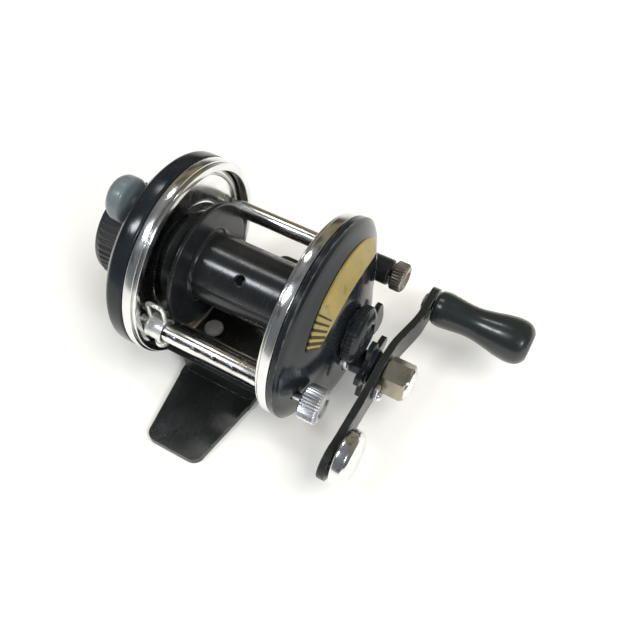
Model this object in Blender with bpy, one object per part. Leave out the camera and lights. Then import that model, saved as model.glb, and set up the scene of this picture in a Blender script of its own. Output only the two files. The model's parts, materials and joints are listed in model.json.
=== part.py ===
"""Small round multiplying fishing reel with a level wind, a star drag and a single-knob crank.

Lengths are in millimetres in this file and become metres in mesh_object(). Piece shapes are drawn
about the spool axis, which runs along X at height AXIS_HEIGHT above the underside of the foot.
+X points to the crank side, -Y to the level wind and +Z up. The crank side is "right" in the names.
"""

import math

import bmesh
import bpy
from mathutils import Vector

MM = 0.001
GAP = 0.3                    # clearance between pieces that touch on the real reel

# Driving dimensions
AXIS_HEIGHT = 30.0           # spool axis above the underside of the foot
PLATE_R = 27.0               # outer radius of the two side plates
RING_BORE_R = 24.4           # bore of the chrome rings
LIP_X = 16.8                 # inner face of each ring's lip
RING_X = 17.8                # inner face of each ring's main band
COVER_X = 20.5               # joint between ring and cover
PLATE_X = 19.6               # inner face of each inner plate
PLATE_T = 1.3                # thickness of each inner plate
HUB_X = 17.2                 # inner face of each inner plate's hub
SPOOL_FLANGE_R = 17.1
SPOOL_FLANGE_X = 14.9        # outer face of each spool flange
SPOOL_FLANGE_T = 1.2
ARBOR_R = 9.4
SHAFT_R = 1.5

# Axes parallel to X, as (y, z) from the spool axis
SPOOL = (0.0, 0.0)
DRIVE = (0.0, -12.0)
LEVEL_WIND = (-21.3, -2.6)
REAR_POST = (20.9, 0.0)
FRONT_LOW_POST = (-12.0, -18.0)
REAR_LOW_POST = (12.0, -18.0)
CLICK_KNOB = (-4.6, 19.3)
LOWER_THUMB = (-20.9, -3.2)
CLUTCH = (13.5, -13.0)
DOG = (9.6, -17.2)
POST_R = 2.3

# Gears: teeth, module and the pressure angle shared by all of them
PRESSURE_ANGLE = math.radians(20)
DRIVE_MODULE = 0.5
MAIN_TEETH = 36
PINION_TEETH = 12
COG_TEETH = 14
IDLER_TEETH = 30
WORM_TEETH = 11
# The three level-wind gears stand in one line from the spool to the worm.
WIND_MODULE = 2.0 * math.dist(SPOOL, LEVEL_WIND) / (COG_TEETH + 2 * IDLER_TEETH + WORM_TEETH)
WIND_GEAR_X = (-24.8, -23.0) # ends of the level-wind gears

# Level-wind carriage at the left end of its travel
GUIDE_X = -14.6
GUIDE_HALF = 2.1

CLICK_TRAVEL = 3.0           # slide of the click knob across the cover

# Crank-side cover, as (x, radius) points from its rim inwards
DOME = (
    (21.4, 27.0), (21.9, 26.6), (22.7, 25.3), (23.8, 23.4), (25.0, 20.8), (26.3, 17.6), (27.4, 13.8),
    (28.2, 9.5), (28.6, 5.6),
)
GEAR_CASE_AXIS = (0.0, -7.5)
GEAR_CASE = ((22.0, 18.6), (24.8, 17.9), (26.6, 16.4), (27.6, 14.2), (28.3, 11.0), (28.6, 6.0))
COVER_WALL = 1.3
LABEL_ANGLES = (28, 148)     # degrees from +Y towards +Z
LABEL_OUTER = (23.2, 20.2)   # outer radius at the two ends
LABEL_WIDTH = 7.4
LABEL_LIFT = (0.3, 0.6)      # faces of the label above the dome

# Clutch
CROSS_PIN_X = 22.3           # pin across the spool shaft that the pinion's slot holds
YOKE_X = (24.4, 24.8)
YOKE_POST_Y = 7.2
YOKE_POST_Z = 4.4
RATCHET_X = (21.3, 22.1)

# Crank
ARM_X = 36.9                 # inner face of the crank's middle
ARM_T = 2.0
ARM_JOGGLE = 2.2             # how far the knob end stands further out than the middle
STAR_TURN = 156              # angle of one star arm, in degrees from +Y
KNOB = (25.5, -12.0)
WEIGHT = (-25.5, -12.0)

# Foot
FOOT_X = -3.0                # the foot's centre line, a little towards the left plate
FOOT_T = 2.0
FOOT_NEAR_Y = -39.3
FOOT_FAR_Y = 32.0
RIVETS = (("foot_rivet_left", -11.8), ("foot_rivet_right", 8.2))

PAINTS = {
    "chrome": ((0.78, 0.78, 0.80), 0.12, 1.0),
    "nickel": ((0.55, 0.55, 0.58), 0.30, 1.0),
    "steel": ((0.45, 0.45, 0.47), 0.35, 1.0),
    "brass": ((0.72, 0.56, 0.25), 0.30, 1.0),
    "gold": ((0.62, 0.50, 0.20), 0.35, 1.0),
    "bronze": ((0.36, 0.32, 0.25), 0.35, 1.0),
    "black": ((0.035, 0.040, 0.042), 0.28, 0.0),
    "satin_black": ((0.030, 0.032, 0.034), 0.45, 0.0),
    "grey": ((0.30, 0.35, 0.38), 0.35, 0.0),
    "fibre": ((0.20, 0.10, 0.05), 0.80, 0.0),
}


# ---------------------------------------------------------------- building tools

def clear_scene():
    for obj in list(bpy.data.objects):
        bpy.data.objects.remove(obj, do_unlink=True)


def world(axis, x=0.0):
    """A point on the axis (y, z), as a location in metres."""
    return Vector((x, axis[0], axis[1] + AXIS_HEIGHT)) * MM


def principled(name, paint):
    colour, roughness, metallic = PAINTS[paint]
    material = bpy.data.materials.new(name)
    material.use_nodes = True
    shader = material.node_tree.nodes["Principled BSDF"]
    shader.inputs["Base Color"].default_value = (*colour, 1.0)
    shader.inputs["Roughness"].default_value = roughness
    shader.inputs["Metallic"].default_value = metallic
    return material


def mesh_object(name, bm, location, paint):
    """Scale the millimetre mesh to metres, close it up and add it to the scene."""
    bmesh.ops.scale(bm, vec=(MM, MM, MM), verts=bm.verts)
    bmesh.ops.recalc_face_normals(bm, faces=bm.faces)
    mesh = bpy.data.meshes.new(name)
    bm.to_mesh(mesh)
    bm.free()
    mesh.shade_smooth()
    mesh.set_sharp_from_angle(angle=math.radians(35))
    obj = bpy.data.objects.new(name, mesh)
    obj.location = location
    bpy.context.collection.objects.link(obj)
    if paint is None:
        obj.hide_render = True
        obj.display_type = "WIRE"
    else:
        mesh.materials.append(principled(name, paint))
    return obj


def skin(bm, rings, sides):
    """Faces between each ring and the next, back to the first. A ring of one point is on the axis."""
    for first, second in zip(rings, rings[1:] + rings[:1]):
        if len(first) == len(second) == 1:
            continue
        for k in range(sides):
            quad = [first[k % len(first)], first[(k + 1) % len(first)]]
            quad += [second[(k + 1) % len(second)], second[k % len(second)]]
            bm.faces.new(list(dict.fromkeys(quad)))


def turned(name, profile, paint, axis=SPOOL, sides=24):
    """Turn a profile of (x, radius) points about an axis parallel to X.

    The profile is a closed outline. Its points on the axis have the radius 0, and the stretch
    between two of them makes no face.
    """
    bm = bmesh.new()
    rings = []
    for x, radius in profile:
        if radius == 0.0:
            rings.append([bm.verts.new((x, 0.0, 0.0))])
            continue
        turns = [2.0 * math.pi * k / sides for k in range(sides)]
        rings.append([bm.verts.new((x, radius * math.cos(t), radius * math.sin(t))) for t in turns])
    skin(bm, rings, sides)
    return mesh_object(name, bm, world(axis), paint)


def rod(name, x0, x1, radius, paint, axis=SPOOL, sides=16, bevel=0.2):
    """A plain round bar with small end bevels."""
    profile = [(x0, 0.0), (x0, radius - bevel), (x0 + bevel, radius)]
    profile += [(x1 - bevel, radius), (x1, radius - bevel), (x1, 0.0)]
    return turned(name, profile, paint, axis, sides)


def tube(name, x0, x1, outer, inner, paint, axis=SPOOL, sides=20, bevel=0.2):
    """A plain ring or bush with bevelled outer edges."""
    profile = [(x0, inner), (x0, outer - bevel), (x0 + bevel, outer)]
    profile += [(x1 - bevel, outer), (x1, outer - bevel), (x1, inner)]
    return turned(name, profile, paint, axis, sides)


def prism(name, outline, x0, x1, paint, axis=SPOOL):
    """A plate cut to an outline of (y, z) points, from x0 to x1."""
    bm = bmesh.new()
    low = [bm.verts.new((x0, y, z)) for y, z in outline]
    high = [bm.verts.new((x1, y, z)) for y, z in outline]
    count = len(outline)
    for k in range(count):
        bm.faces.new((low[k], low[(k + 1) % count], high[(k + 1) % count], high[k]))
    bm.faces.new(low)
    bm.faces.new(high)
    return mesh_object(name, bm, world(axis), paint)


def block(name, low, high, paint, axis=SPOOL):
    """A box between two corners, given about an axis."""
    outline = [(low[1], low[2]), (high[1], low[2]), (high[1], high[2]), (low[1], high[2])]
    return prism(name, outline, low[0], high[0], paint, axis)


def stand_up(obj, x, y):
    """Turn a piece drawn along X to stand along Z at (x, y), its X values measured up from the axis."""
    obj.location = world((y, 0.0), x)
    obj.rotation_euler = (0.0, math.radians(-90), 0.0)
    return obj


def upright(name, x, y, z0, z1, radius, paint, sides=20):
    """A round pin standing along Z, with z measured from the spool axis."""
    return stand_up(rod(name, z0, z1, radius, paint, SPOOL, sides, bevel=0.1), x, y)


def boolean(target, other, operation):
    modifier = target.modifiers.new(other.name, "BOOLEAN")
    modifier.operation = operation
    modifier.object = other
    return target


def cut(target, *cutters):
    for cutter in cutters:
        boolean(target, cutter, "DIFFERENCE")
    return target


def join(target, *others):
    for other in others:
        boolean(target, other, "UNION")
    return target


def bore(name, x0, x1, radius, axis, sides=16):
    """A hidden round cutter along X."""
    return rod(name, x0, x1, radius, None, axis, sides, bevel=0.01)


def arc(radius, start, end, steps, centre=(0.0, 0.0)):
    """Points (y, z) on an arc, with angles in degrees from +Y towards +Z."""
    points = []
    for k in range(steps + 1):
        turn = math.radians(start + (end - start) * k / steps)
        points.append((centre[0] + radius * math.cos(turn), centre[1] + radius * math.sin(turn)))
    return points


def involute(angle):
    return math.tan(angle) - angle


def gear_outline(teeth, module, turn=0.0, slack=0.09, steps=1):
    """Outline of an external spur gear, with one tooth centred on the angle turn, in radians."""
    pitch_r = teeth * module / 2.0
    base_r = pitch_r * math.cos(PRESSURE_ANGLE)
    tip_r = pitch_r + 0.92 * module
    root_r = pitch_r - 1.25 * module
    half_pitch = (math.pi * module / 2.0 - slack) / (2.0 * pitch_r)
    start_r = max(base_r, root_r + 0.1 * module)
    flank = []
    for k in range(steps + 1):
        radius = start_r + (tip_r - start_r) * k / steps
        pressure = math.acos(min(1.0, base_r / radius))
        half = half_pitch + involute(PRESSURE_ANGLE) - involute(pressure)
        flank.append((radius, half))
    flank.insert(0, (root_r, flank[0][1]))
    points = []
    for tooth in range(teeth):
        middle = turn + 2.0 * math.pi * tooth / teeth
        for radius, half in flank:
            points.append((radius * math.cos(middle - half), radius * math.sin(middle - half)))
        for radius, half in reversed(flank):
            points.append((radius * math.cos(middle + half), radius * math.sin(middle + half)))
    return points


def heading(start, end):
    """Angle of the line between two axes, in radians from +Y towards +Z."""
    return math.atan2(end[1] - start[1], end[0] - start[0])


def between(start, end, distance):
    """The point at a distance from start on the line towards end."""
    turn = heading(start, end)
    return (start[0] + distance * math.cos(turn), start[1] + distance * math.sin(turn))


# ---------------------------------------------------------------- frame

def ring_profile(side):
    """Chrome ring with a groove and a thin rounded lip towards the spool."""
    points = [
        (COVER_X - GAP, RING_BORE_R), (COVER_X - GAP, PLATE_R), (RING_X + 0.3, PLATE_R),
        (RING_X, PLATE_R - 0.3), (RING_X, PLATE_R - 1.1), (RING_X - 0.35, PLATE_R - 0.6),
        (LIP_X + 0.2, PLATE_R - 0.7), (LIP_X, PLATE_R - 1.1), (LIP_X, RING_BORE_R),
    ]
    return [(side * x, radius) for x, radius in points]


def inner_plate(side, name, hub_r):
    """Plate inside the ring, with a hub that holds the spool bearing."""
    back = PLATE_X + PLATE_T
    profile = [
        (back, 5.9), (back, RING_BORE_R - GAP), (PLATE_X, RING_BORE_R - GAP), (PLATE_X, hub_r + 0.6),
        (HUB_X + 0.6, hub_r), (HUB_X, hub_r - 0.6), (HUB_X, 5.9),
    ]
    plate = turned(name, [(side * x, radius) for x, radius in profile], "satin_black", sides=32)
    low, high = sorted((side * (PLATE_X - 1.0), side * (back + 1.0)))
    return cut(plate, bore(name + "_worm_hole", low, high, 1.5, LEVEL_WIND))


def left_cover():
    """Black cup with a rim band, a chamfer and a shallow dome."""
    outer = [
        (-COVER_X, PLATE_R), (-24.8, PLATE_R), (-25.2, 26.7), (-27.2, 24.3),
        (-28.2, 22.0), (-28.5, 18.0), (-28.5, 8.0),
    ]
    inner = [(-27.0, 8.0), (-27.0, 21.4), (-26.2, 23.2), (-24.6, 25.0), (-COVER_X, 25.0)]
    cover = turned("left_cover", outer + inner, "black", sides=40)
    slot = block("click_slot", (-30.0, -1.7, -1.7), (-25.0, 1.7, 1.7 + CLICK_TRAVEL), None, CLICK_KNOB)
    slot.rotation_euler = (heading(CLICK_KNOB, SPOOL) + math.pi, 0.0, 0.0)
    return cut(cover, slot)


def dome_height(y, z):
    """Outer face x of the crank-side cover: a low dome, raised over the gears below the spool axis."""
    dome = along(DOME, math.hypot(y, z))
    return max(dome, along(GEAR_CASE, math.dist((y, z), GEAR_CASE_AXIS)))


def along(profile, radius):
    """x of a profile of (x, radius) points at a radius. Beyond its widest point it is the first x."""
    for (x0, r0), (x1, r1) in zip(profile, profile[1:]):
        if r0 >= radius > r1:
            return x0 + (x1 - x0) * (r0 - radius) / (r0 - r1)
    return profile[0][0] if radius > profile[0][1] else profile[-1][0]


def dome_solid(name, grow, radii, bottom, paint, sides=48):
    """Closed solid under the dome surface moved by grow along X, from radii[0] inwards."""
    bm = bmesh.new()
    rings = [[bm.verts.new((bottom, 0.0, 0.0))]]
    for k, radius in enumerate((radii[0], *radii)):
        ring = []
        for t in range(sides):
            turn = 2.0 * math.pi * t / sides
            y, z = radius * math.cos(turn), radius * math.sin(turn)
            ring.append(bm.verts.new((bottom if k == 0 else dome_height(y, z) + grow, y, z)))
        rings.append(ring)
    rings.append([bm.verts.new((dome_height(0.0, 0.0) + grow, 0.0, 0.0))])
    skin(bm, rings, sides)
    return mesh_object(name, bm, world(SPOOL), paint)


def right_cover():
    """Black cup over the gears, with a threaded neck for the cast control and a drive hole."""
    radii = (PLATE_R, 26.6, 25.3, 23.4, 20.8, 18.8, 16.6, 13.8, 11.0, 8.0, 5.6)
    cover = dome_solid("right_cover", 0.0, radii, COVER_X, "black")
    hollow = dome_solid("right_cover_hollow", -COVER_WALL, (25.0, 23.4, *radii[4:]), 19.0, None)
    neck = tube("right_cover_neck", 28.0, 30.6, 5.6, 2.0, None, bevel=0.1)
    holes = (
        ("drive_hole", 4.1, DRIVE), ("clutch_hole", 1.6, CLUTCH), ("neck_bore", 3.4, SPOOL),
        ("upper_thumb_hole", 1.4, REAR_POST), ("lower_thumb_hole", 1.4, LOWER_THUMB),
    )
    join(cover, neck)
    return cut(cover, hollow, *[bore(name, 21.0, 31.0, radius, axis) for name, radius, axis in holes])


def label_crescent():
    """Gold sector that follows the dome of the crank side, with narrower ends."""
    bm = bmesh.new()
    steps, across = 26, 4
    rings = []
    for k in range(steps + 1):
        part = k / steps
        turn = math.radians(LABEL_ANGLES[0] + (LABEL_ANGLES[1] - LABEL_ANGLES[0]) * part)
        outer = LABEL_OUTER[0] + (LABEL_OUTER[1] - LABEL_OUTER[0]) * part
        inner = outer - LABEL_WIDTH * (0.35 + 0.65 * math.sin(math.pi * part) ** 0.5)
        edge = [outer + (inner - outer) * j / across for j in range(across + 1)]
        ring = []
        for radius, lift in [(r, LABEL_LIFT[0]) for r in edge] + [(r, LABEL_LIFT[1]) for r in reversed(edge)]:
            y, z = radius * math.cos(turn), radius * math.sin(turn)
            ring.append(bm.verts.new((dome_height(y, z) + lift, y, z)))
        rings.append(ring)
    count = len(rings[0])
    for first, second in zip(rings, rings[1:]):
        for k in range(count):
            after = (k + 1) % count
            bm.faces.new((first[k], first[after], second[after], second[k]))
    bm.faces.new(rings[0])
    bm.faces.new(rings[-1])
    return mesh_object("label_crescent", bm, world(SPOOL), "gold")


def post(name, axis):
    """Round pillar with a short turned waist at each end."""
    end = PLATE_X - GAP
    half = [(end, 0.0), (end, 1.9), (end - 1.6, 1.9), (end - 1.9, POST_R), (end - 2.4, POST_R)]
    profile = [(-x, radius) for x, radius in half] + [(x, radius) for x, radius in reversed(half)]
    return turned(name, profile, "chrome", axis, sides=16)


def foot():
    """Clamping blade with a narrower pedestal that carries the saddle."""
    half = 11.4
    near_half = 8.4
    corner = 3.0
    bm = bmesh.new()
    rim = []
    corners = [
        (FOOT_X - near_half, FOOT_NEAR_Y, 180, 270), (FOOT_X + near_half, FOOT_NEAR_Y, 270, 360),
        (FOOT_X + near_half, FOOT_FAR_Y, 0, 90), (FOOT_X - near_half, FOOT_FAR_Y, 90, 180),
    ]
    waist = [(FOOT_X + half, -17.0), (FOOT_X + half, 15.0)]
    for place, (x, y, start, end) in enumerate(corners):
        side_x = corner if x < FOOT_X else -corner
        side_y = corner if y < 0 else -corner
        rim += arc(corner, start, end, 5, (x + side_x, y + side_y))
        if place == 1:
            rim += waist
        if place == 3:
            rim += [(2 * FOOT_X - x, y) for x, y in reversed(waist)]
    base = -AXIS_HEIGHT
    low = [bm.verts.new((x, y, base)) for x, y in rim]
    high = [bm.verts.new((x, y, base + FOOT_T)) for x, y in rim]
    count = len(rim)
    for k in range(count):
        bm.faces.new((low[k], low[(k + 1) % count], high[(k + 1) % count], high[k]))
    bm.faces.new(low)
    bm.faces.new(high)
    blade = mesh_object("foot", bm, world(SPOOL), "satin_black")

    bm = bmesh.new()
    layers = []
    for z, wide, x_mid, near, far in (
        (base + FOOT_T - 0.5, 10.8, FOOT_X, -17.0, 15.0),
        (-27.0, 11.8, FOOT_X, -16.6, 14.6),
        (-24.6, 15.2, FOOT_X * 0.4, -15.6, 13.6),
        (-22.6, 16.2, 0.0, -15.4, 13.4),
    ):
        corners = ((x_mid - wide, near), (x_mid + wide, near), (x_mid + wide, far), (x_mid - wide, far))
        layers.append([bm.verts.new((x, y, z)) for x, y in corners])
    for first, second in zip(layers, layers[1:]):
        for k in range(4):
            bm.faces.new((first[k], first[(k + 1) % 4], second[(k + 1) % 4], second[k]))
    bm.faces.new(layers[0])
    bm.faces.new(layers[-1])
    pedestal = mesh_object("foot_pedestal_shape", bm, world(SPOOL), None)
    saddle_room = rod("foot_saddle_room", -20.0, 20.0, 25.8 + GAP, None, sides=40)
    boolean(pedestal, saddle_room, "DIFFERENCE")
    return join(blade, pedestal)


def saddle():
    """Curved cross plate between the rings, under the spool."""
    outline = arc(25.8, 222, 318, 20) + arc(24.4, 318, 222, 20)
    return prism("foot_saddle", outline, -LIP_X + GAP, LIP_X - GAP, "satin_black")


def foot_rivet(name, x, y=-4.4):
    """Round head of the rivet that holds the foot to the saddle."""
    seat = -math.sqrt(24.4 ** 2 - (abs(y) + 2.7) ** 2) + GAP
    head = [(seat, 0.0), (seat, 2.7), (seat + 0.4, 2.6), (seat + 1.0, 1.7), (seat + 1.3, 0.0)]
    return stand_up(turned(name, head, "nickel", sides=24), x, y)


def cover_screw(name, axis):
    """Slotted screw head on the left dome."""
    head = [(-28.8, 0.0), (-28.8, 2.1), (-29.2, 2.1), (-29.7, 1.3), (-29.8, 0.0)]
    screw = turned(name, head, "nickel", axis, sides=20)
    return cut(screw, block(name + "_slot", (-30.2, -3.0, -0.3), (-29.3, 3.0, 0.3), None, axis))


def build_frame():
    turned("left_ring", ring_profile(-1), "chrome", sides=40)
    turned("right_ring", ring_profile(1), "chrome", sides=40)
    inner_plate(-1, "left_plate", 12.0)
    plate = inner_plate(1, "right_plate", 8.0)
    cut(plate, bore("right_plate_drive_hole", 18.0, 22.0, 2.0, DRIVE))
    left_cover()
    right_cover()
    label_crescent()
    post("rear_post", REAR_POST)
    post("front_low_post", FRONT_LOW_POST)
    post("rear_low_post", REAR_LOW_POST)
    foot()
    saddle()
    for name, x in RIVETS:
        foot_rivet(name, x)
    for name, turn in (("cover_screw_rear", 0), ("cover_screw_front", 197), ("cover_screw_low", 285)):
        cover_screw(name, arc(20.4, turn, turn, 1)[0])
    tube("left_bearing", -20.6, -17.6, 5.6, SHAFT_R + 0.08, "steel")
    tube("right_bearing", 17.6, 20.6, 5.6, SHAFT_R + 0.08, "steel")


# ---------------------------------------------------------------- spool and gears

def build_spool():
    flange_in = SPOOL_FLANGE_X - SPOOL_FLANGE_T
    half = [
        (SPOOL_FLANGE_X - 0.9, SHAFT_R + 0.05), (SPOOL_FLANGE_X - 0.9, SPOOL_FLANGE_R - 2.6),
        (SPOOL_FLANGE_X, SPOOL_FLANGE_R - 2.0), (SPOOL_FLANGE_X, SPOOL_FLANGE_R - 0.4),
        (SPOOL_FLANGE_X - 0.4, SPOOL_FLANGE_R), (flange_in, SPOOL_FLANGE_R),
        (flange_in - 0.3, SPOOL_FLANGE_R - 0.5), (flange_in - 0.3, ARBOR_R + 0.8), (flange_in - 1.1, ARBOR_R),
    ]
    profile = [(-x, radius) for x, radius in half] + [(x, radius) for x, radius in reversed(half)]
    spool = turned("spool", profile, "satin_black", sides=32)
    tie_tilt = math.radians(34)
    tie = rod("line_tie_hole", ARBOR_R - 3.0, ARBOR_R + 2.0, 1.4, None)
    tie.rotation_euler = (tie_tilt, math.radians(-90), 0.0)
    cut(spool, tie)

    shaft = rod("spool_shaft", -26.5, 29.6, SHAFT_R, "steel", sides=20)
    join(shaft, upright("cross_pin_shape", CROSS_PIN_X, 0.0, -2.3, 2.3, 0.5, None, sides=12))
    cog_turn = heading(SPOOL, LEVEL_WIND)
    gear("spool_cog", COG_TEETH, WIND_MODULE, cog_turn, WIND_GEAR_X, SHAFT_R + 0.1, "brass", SPOOL)
    click_gear()


def click_gear():
    """Small coarse wheel that the click tongue rides on, with a gap facing the tongue."""
    teeth = 12
    tongue_turn = heading(SPOOL, CLICK_KNOB)
    outline = []
    for k in range(teeth):
        middle = tongue_turn + 2.0 * math.pi * (k + 0.5) / teeth
        for radius, step in ((3.5, -0.17), (4.4, -0.06), (4.4, 0.06), (3.5, 0.17)):
            outline.append((radius * math.cos(middle + step), radius * math.sin(middle + step)))
    wheel = prism("click_gear", outline, -26.2, -25.2, "steel")
    return cut(wheel, bore("click_gear_bore", -27.0, -24.0, SHAFT_R + 0.1, SPOOL))


def idler_axis():
    return between(SPOOL, LEVEL_WIND, (COG_TEETH + IDLER_TEETH) * WIND_MODULE / 2.0)


def gear(name, teeth, module, turn, span, bore_r, paint, axis):
    """A spur gear over the span (x0, x1), with a round bore."""
    low, high = span
    piece = prism(name, gear_outline(teeth, module, turn), low, high, paint, axis)
    return cut(piece, bore(name + "_bore", low - 1.0, high + 1.0, bore_r, axis))


def build_level_wind():
    axis = idler_axis()
    # A gap of the idler faces a tooth of the spool cog.
    idler_turn = heading(axis, SPOOL) + math.pi / IDLER_TEETH
    gear("idler_gear", IDLER_TEETH, WIND_MODULE, idler_turn, WIND_GEAR_X, 1.4, "brass", axis)
    rod("idler_pin", -25.2, -PLATE_X - PLATE_T - GAP, 1.2, "steel", axis, sides=16)
    gear("worm_gear", WORM_TEETH, WIND_MODULE, worm_phase(), WIND_GEAR_X, 1.3, "brass", LEVEL_WIND)
    rod("worm_shaft", -25.2, 21.6, 1.2, "steel", LEVEL_WIND, sides=20)

    end = PLATE_X - GAP
    shield = tube("worm_shield", -end, end, 2.4, 1.7, "chrome", LEVEL_WIND, sides=24)
    length = LIP_X - 0.6
    front = block("shield_front_slot", (-length, 0.0, -0.5), (length, 4.0, 0.5), None, LEVEL_WIND)
    front.rotation_euler = (math.radians(138), 0.0, 0.0)
    under = block("shield_under_slot", (-length, -0.9, -4.0), (length, 0.9, 0.0), None, LEVEL_WIND)
    cut(shield, front, under)
    line_guide()


def worm_phase():
    """Angle of a worm gear tooth that falls into a gap of the idler."""
    axis = idler_axis()
    pitch = 2.0 * math.pi / IDLER_TEETH
    tooth = heading(axis, SPOOL) + pitch / 2.0
    towards = heading(axis, LEVEL_WIND)
    offset = (towards - tooth) / pitch
    part = offset - math.floor(offset)
    # part is how far the line of centres has moved from a tooth centre, in idler pitches.
    worm_pitch = 2.0 * math.pi / WORM_TEETH
    return heading(LEVEL_WIND, axis) + (part - 0.5) * worm_pitch


def line_guide():
    """Carriage on the shield tube with a tall eye for the line, and a pawl under its cap."""
    low, high = GUIDE_X - GUIDE_HALF, GUIDE_X + GUIDE_HALF
    y, z = LEVEL_WIND
    body = tube("line_guide", low, high, 3.1, 2.7, "chrome", LEVEL_WIND, sides=32, bevel=0.1)
    eye = block("guide_eye_shape", (low - 0.3, -0.2, 2.4), (high + 0.3, 1.2, 9.2), None, LEVEL_WIND)
    eye_slot = block("guide_eye_slot", (low + 0.7, -3.0, 4.4), (high - 0.7, 3.0, 8.1), None, LEVEL_WIND)
    socket = upright("pawl_socket_shape", GUIDE_X, y, z - 4.7, z - 2.9, 1.7, None)
    pawl_hole = upright("pawl_hole", GUIDE_X, y, z - 6.0, z - 2.0, 0.9, None)
    join(body, cut(eye, eye_slot), socket)
    cut(body, pawl_hole)
    upright("guide_pawl", GUIDE_X, y, z - 4.7, z - 1.5, 0.6, "brass", sides=16)
    upright("pawl_cap", GUIDE_X, y, z - 6.8, z - 5.0, 1.9, "chrome")


# ---------------------------------------------------------------- drive and crank

def pinion():
    """Sliding gear on the spool shaft, with a slot for the cross pin and a groove for the yoke."""
    outline = gear_outline(PINION_TEETH, DRIVE_MODULE, heading(SPOOL, DRIVE))
    piece = prism("pinion", outline, 21.6, 24.0, "brass")
    collar = [(23.8, 1.0), (23.8, 2.1), (25.1, 2.1), (25.1, 3.1), (25.7, 3.1), (25.7, 1.0)]
    join(piece, turned("pinion_collar_shape", collar, None, sides=24))
    cut(piece, bore("pinion_bore", 20.0, 27.0, SHAFT_R + 0.15, SPOOL))
    return cut(piece, block("pinion_slot", (20.0, -0.8, -4.0), (22.98, 0.8, 4.0), None))


def clutch():
    """Fork that slides the pinion out of the cross pin, its two posts, and the lever that moves it."""
    outline = [
        (-9.0, 3.0), (-4.4, 3.0), (-4.4, -1.4), (-2.5, -1.4), (-2.5, 2.5), (2.5, 2.5), (2.5, -1.4),
        (4.4, -1.4), (4.4, 3.0), (9.0, 3.0), (9.0, 5.8), (-9.0, 5.8),
    ]
    yoke = prism("clutch_yoke", outline, *YOKE_X, "steel")
    for side, name in ((-1, "yoke_post_front"), (1, "yoke_post_rear")):
        axis = (side * YOKE_POST_Y, YOKE_POST_Z)
        cut(yoke, bore(name + "_hole", 24.0, 26.0, 1.05, axis, sides=16))
        rod(name, PLATE_X + PLATE_T + GAP, 26.6, 0.85, "steel", axis, sides=16)
    blade = [
        (-2.3, -2.4), (0.0, -3.2), (2.3, -2.4), (2.9, 0.0), (2.0, 5.4), (1.4, 7.2), (0.0, 7.8),
        (-1.4, 7.2), (-2.0, 5.4), (-2.9, 0.0),
    ]
    lever = prism("clutch_lever", blade, 28.9, 30.3, "black", CLUTCH)
    join(lever, rod("clutch_stem_shape", 25.0, 30.0, 1.3, None, CLUTCH, sides=20))
    cam = [(-1.0, -0.6), (1.0, -0.6), (0.9, 7.5), (-0.9, 7.5)]
    inner_arm = prism("clutch_cam_shape", cam, 25.2, 25.9, None, CLUTCH)
    inner_arm.rotation_euler = (math.radians(22), 0.0, 0.0)
    return join(lever, inner_arm)


def anti_reverse():
    """Ratchet on the drive shaft and the dog that drops behind its teeth, held just clear of them."""
    teeth = 10
    outline = []
    for k in range(teeth):
        turn = 2.0 * math.pi * k / teeth
        for radius, step in ((5.0, 0.0), (6.4, 0.08), (5.9, 0.30), (5.0, 0.56)):
            outline.append((radius * math.cos(turn + step), radius * math.sin(turn + step)))
    ratchet = prism("ratchet_wheel", outline, *RATCHET_X, "steel", DRIVE)
    cut(ratchet, bore("ratchet_bore", 20.0, 24.0, 2.4, DRIVE))
    reach = math.dist(DOG, DRIVE)
    finger = [
        (1.4 * math.cos(math.radians(t)), 1.4 * math.sin(math.radians(t))) for t in (70, 130, 180, 230, 290)
    ]
    finger += [(reach - 7.6, -0.7), (reach - 6.8, 0.2), (reach - 7.4, 0.9)]
    turn = heading(DOG, DRIVE)
    finger = [
        (y * math.cos(turn) - z * math.sin(turn), y * math.sin(turn) + z * math.cos(turn)) for y, z in finger
    ]
    dog = prism("anti_reverse_dog", finger, *RATCHET_X, "steel", DOG)
    cut(dog, bore("dog_hole", 20.0, 24.0, 0.85, DOG, sides=16))
    rod("dog_pin", PLATE_X + PLATE_T + GAP, 22.6, 0.6, "steel", DOG, sides=12, bevel=0.1)


def build_drive():
    pinion()
    clutch()
    anti_reverse()
    main_turn = heading(DRIVE, SPOOL) + math.pi / MAIN_TEETH
    gear("main_gear", MAIN_TEETH, DRIVE_MODULE, main_turn, (22.5, 24.1), 2.4, "brass", DRIVE)
    shaft = [
        (19.9, 0.0), (19.9, 1.7), (21.1, 1.7), (21.1, 2.1), (43.6, 2.1), (43.8, 1.9), (43.8, 0.0),
    ]
    turned("drive_shaft", shaft, "steel", DRIVE, sides=24)
    tube("drag_washer", 24.4, 25.1, 6.4, 2.4, "fibre", DRIVE, sides=24)
    tube("pressure_washer", 25.4, 26.1, 5.6, 2.4, "steel", DRIVE, sides=24)
    tube("drive_bush", 26.4, 29.4, 3.7, 2.4, "nickel", DRIVE, sides=24)


def star_outline():
    """Five arms with round tips and curved gaps."""
    half = ((5.2, 26.0), (6.4, 17.0), (8.2, 13.0), (8.8, 6.0))
    points = []
    for arm in range(5):
        middle = STAR_TURN + 72 * arm
        sides = [(radius, -offset) for radius, offset in half] + list(reversed(half))
        for radius, offset in sides:
            turn = math.radians(middle + offset)
            points.append((radius * math.cos(turn), radius * math.sin(turn)))
    return points


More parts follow.
